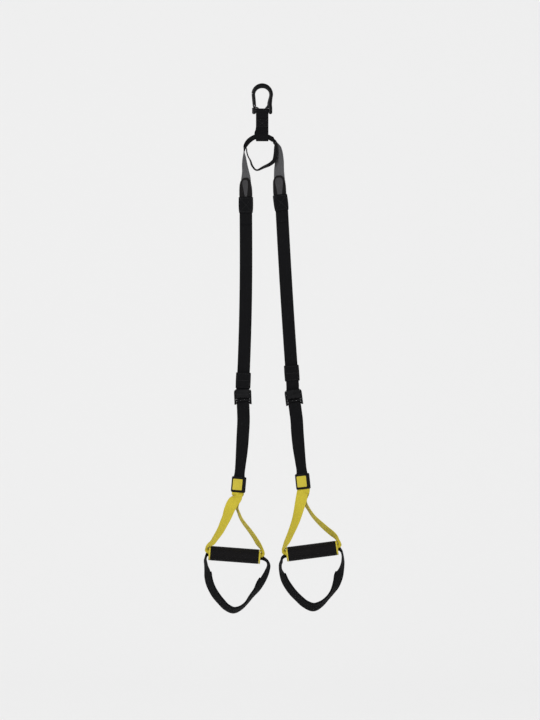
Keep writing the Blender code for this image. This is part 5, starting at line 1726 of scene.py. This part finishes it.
class TRAINER_OT_handles(bpy.types.Operator):
    """Turn the grips and their caps, and lay the yellow loops through them"""

    bl_idname = "trainer.handles"
    bl_label = "Handles"

    def execute(self, context):
        for side in SIDES:
            strip = Strip(loop_rows(side), WEB_WIDTH, LOOP_WEB_THICKNESS)
            loop = strip.build(f"{side}_loop_webbing", "yellow webbing", columns=20)
            blended(loop,
                    f"{side}_handle_loop")
            self.grip(side)
        return {"FINISHED"}

    def grip(self, side):
        axis = grip_frame(side) @ ALONG_X
        hub = CAP_BORE + CAP_HUB_WALL
        core_out = hub + GAP + CORE_WALL
        half = GRIP_LENGTH / 2
        rim = rounded_rim(GRIP_RADIUS, half, GRIP_EDGE, 6)
        heights = np.linspace(half - GRIP_EDGE, -half + GRIP_EDGE, 25)[1:-1]
        body = [(GRIP_RADIUS, height) for height in heights]
        profile = rim + body + [(radius, -height) for radius, height in rim[::-1]]
        profile += [(core_out + GAP, -half), (core_out + GAP, half)]
        rubber = lathe(f"{side}_grip_rubber", axis, profile, "grip rubber")
        shade_by_angle(rubber, 50)
        mounted(rubber, f"{side}_grip", f"{side}_grip_sleeve")
        foot, top = half + GAP, half + CAP_THICKNESS
        mouth = rounded_rim(CAP_BORE, top, MOUTH_EDGE, 4, -1)[::-1]
        cap = rounded_rim(GRIP_RADIUS, top, CAP_EDGE, 6)
        cap += [(GRIP_RADIUS, foot + 0.0003), (GRIP_RADIUS - 0.0003, foot), (hub, foot),
                (hub, foot - CAP_HUB_LENGTH), (CAP_BORE, foot - CAP_HUB_LENGTH)] + mouth
        for end, flip in (("right", 0), ("left", 180)):
            made = lathe(f"{side}_cap_{end}", axis @ Matrix.Rotation(math.radians(flip), 4, "X"), cap,
                         "yellow plastic")
            shade_by_angle(made, 40)
            mounted(made, f"{side}_grip", f"{side}_{end}_cap")


class TRAINER_OT_cradles(bpy.types.Operator):
    """Lay the foot cradles and put the cushioned pads into them"""

    bl_idname = "trainer.cradles"
    bl_label = "Foot cradles"

    def execute(self, context):
        for side in SIDES:
            rows, start, end = cradle_rows(side)
            middle = (start + end) // 2
            for name, way, half in (("in", -1, rows[:middle + 1]), ("out", 1, rows[middle:])):
                strip = Strip(half, WEB_WIDTH, WEB_THICKNESS)
                web = strip.build(f"{side}_cradle_webbing_{name}", "black webbing", columns=20,
                                  end_round=False)
                blended(web,
                        f"{side}_foot_cradle")
            inward = -(WEB_THICKNESS / 2 + LAYER_GAP * 0.3 + PAD_THICKNESS / 2)
            pad_rows = shifted(rows[start:end + 1], inward)
            last = len(pad_rows) - 1
            drawn = [0.35 + 0.65 * math.sqrt(min(1.0, min(index, last - index) / 5))
                     for index in range(last + 1)]
            pad = Strip(pad_rows, PAD_WIDTH, PAD_THICKNESS).build(
                f"{side}_cradle_cushion", "cradle pad", columns=22, squareness=4, drawn=drawn)
            mounted(pad, f"{side}_cradle", f"{side}_cradle_pad")
        return {"FINISHED"}


class TRAINER_OT_fittings(bpy.types.Operator):
    """Give the pins, springs and grip tubes that stay as they are their finishes"""

    bl_idname = "trainer.fittings"
    bl_label = "Small fittings"

    def execute(self, context):
        finishes = dict.fromkeys(("gate_pin", "gate_spring", "gate_plunger"), "steel")
        for side in SIDES:
            finishes.update({f"{side}_cam_pin": "steel", f"{side}_cam_spring": "steel",
                             f"{side}_grip_core": "black plastic"})
        for name, finish in finishes.items():
            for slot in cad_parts[name].material_slots:
                slot.material = bpy.data.materials[finish]
        return {"FINISHED"}


class TRAINER_OT_stage(bpy.types.Operator):
    """Put up the pale floor and backdrop, the soft lamps and the camera"""

    bl_idname = "trainer.stage"
    bl_label = "Stage"

    def execute(self, context):
        shade = tint(colours(context).backdrop)
        self.backdrop(shade)
        self.world(context, shade)
        self.lamps()
        self.camera(context)
        context.scene.view_settings.view_transform = "Standard"
        return {"FINISHED"}

    def pale(self, name, shade):
        nodes, shader = start_material(name)
        nodes.fill(shader.inputs, {"Base Color": shade, "Roughness": 0.9, "Specular IOR Level": 0.1})
        path = nodes.new("ShaderNodeLightPath").outputs
        seen = nodes.sum("MAXIMUM", nodes.sum("MAXIMUM", path["Is Camera Ray"], path["Is Glossy Ray"]),
                         path["Is Transmission Ray"])
        front = nodes.shaders(nodes.times(seen, 0.88), shader.outputs[0],
                              nodes.first("ShaderNodeEmission", (shade,)))
        back = nodes.first("ShaderNodeBsdfTransparent")
        facing = nodes.new("ShaderNodeNewGeometry").outputs["Backfacing"]
        output = nodes.tree.nodes["Material Output"]
        nodes.put(output.inputs["Surface"], nodes.shaders(facing, front, back))

    def backdrop(self, shade):
        low, bend = CAD_BOX[0][2] - FLOOR_DROP, BACKDROP_DEPTH - SWEEP_RADIUS
        profile = [(-STAGE_REACH, low), (bend, low)]
        profile += [(bend + y, low + SWEEP_RADIUS + z) for y, z in arc(0, 0, SWEEP_RADIUS, -90, 0, 12)[1:]]
        profile += [(BACKDROP_DEPTH, low + STAGE_REACH)]
        points = [(x, y, z) for y, z in profile for x in (-STAGE_REACH, STAGE_REACH)]
        faces = [(row, row + 1, row + 3, row + 2) for row in range(0, len(points) - 2, 2)]
        self.pale("backdrop", shade)
        piece_of("backdrop", points, faces, [point[:2] for point in points], "backdrop")

    def world(self, context, shade):
        world = bpy.data.worlds.new("studio")
        context.scene.world = world
        world.use_nodes = True
        nodes = Nodes(world.node_tree)
        light = world.node_tree.nodes["Background"]
        nodes.fill(light.inputs, {"Color": (1, 1, 1, 1), "Strength": 0.55})
        seen = nodes.first("ShaderNodeBackground", (shade,))
        dim = nodes.first("ShaderNodeBackground", (shade, 0.12))
        path = nodes.new("ShaderNodeLightPath").outputs
        lit = nodes.shaders(path["Is Glossy Ray"], light.outputs[0], dim)
        direct = nodes.sum("MAXIMUM", path["Is Camera Ray"], path["Is Transmission Ray"])
        nodes.put(world.node_tree.nodes["World Output"].inputs[0], nodes.shaders(direct, lit, seen))

    def lamps(self):
        middle = Vector(((CAD_BOX[0][0] + CAD_BOX[1][0]) / 2, 0, (CAD_BOX[0][2] + CAD_BOX[1][2]) / 2))
        for name, place, power, wide in (("key", (-2.0, -3.0, 1.3), 95, 2.0),
                                         ("fill", (2.6, -2.8, 0.2), 45, 2.4)):
            lamp = bpy.data.lights.new(name, "AREA")
            lamp.shape = "RECTANGLE"
            lamp.size, lamp.size_y, lamp.energy = wide, wide, power
            made = placed(name, lamp)
            made.location = middle + Vector(place)
            made.rotation_euler = (middle - made.location).to_track_quat("-Z", "Y").to_euler()

    def camera(self, context):
        size = sizes(context)
        camera = bpy.data.cameras.new("camera")
        camera.sensor_width = 36.0
        camera.lens = camera.sensor_width * size.camera_distance / size.frame_height
        camera.clip_end = 100.0
        made = placed("camera", camera)
        made.location = (CAMERA_SIDE, -size.camera_distance, -CAMERA_DROP)
        made.rotation_euler = (math.radians(90), 0, 0)
        context.scene.camera = made


class TRAINER_PT_panel(bpy.types.Panel):
    """The trainer's pieces, in the order in which they are made"""

    bl_idname = "TRAINER_PT_panel"
    bl_label = "Suspension Trainer"
    bl_space_type = "VIEW_3D"
    bl_region_type = "UI"
    bl_category = "Trainer"

    def draw(self, context):
        layout = self.layout
        for name in STEPS:
            layout.operator(f"trainer.{name}")
        for group in (sizes(context), colours(context)):
            box = layout.box()
            for key in type(group).__annotations__:
                box.prop(group, key)


STEPS = ("materials", "carabiner", "anchor", "equalizer", "arms", "straps", "buckles", "lowers", "handles",
         "cradles", "fittings", "stage")

CLASSES = (
    TrainerColours, TrainerSizes, TRAINER_OT_materials, TRAINER_OT_carabiner, TRAINER_OT_anchor,
    TRAINER_OT_equalizer, TRAINER_OT_arms, TRAINER_OT_straps, TRAINER_OT_buckles, TRAINER_OT_lowers,
    TRAINER_OT_handles, TRAINER_OT_cradles, TRAINER_OT_fittings, TRAINER_OT_stage, TRAINER_PT_panel,
)


def register():
    """Register the classes and hang the settings on the scene."""
    for made in CLASSES:
        bpy.utils.register_class(made)
    bpy.types.Scene.trainer_colours = bpy.props.PointerProperty(type=TrainerColours)
    bpy.types.Scene.trainer_sizes = bpy.props.PointerProperty(type=TrainerSizes)


def unregister():
    """Take the settings and the classes away again."""
    del bpy.types.Scene.trainer_sizes
    del bpy.types.Scene.trainer_colours
    for made in reversed(CLASSES):
        bpy.utils.unregister_class(made)


def main():
    """Build the trainer."""
    register()
    for name in STEPS:
        getattr(bpy.ops.trainer, name)()
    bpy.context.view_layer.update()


if __name__ == "__main__":
    main()
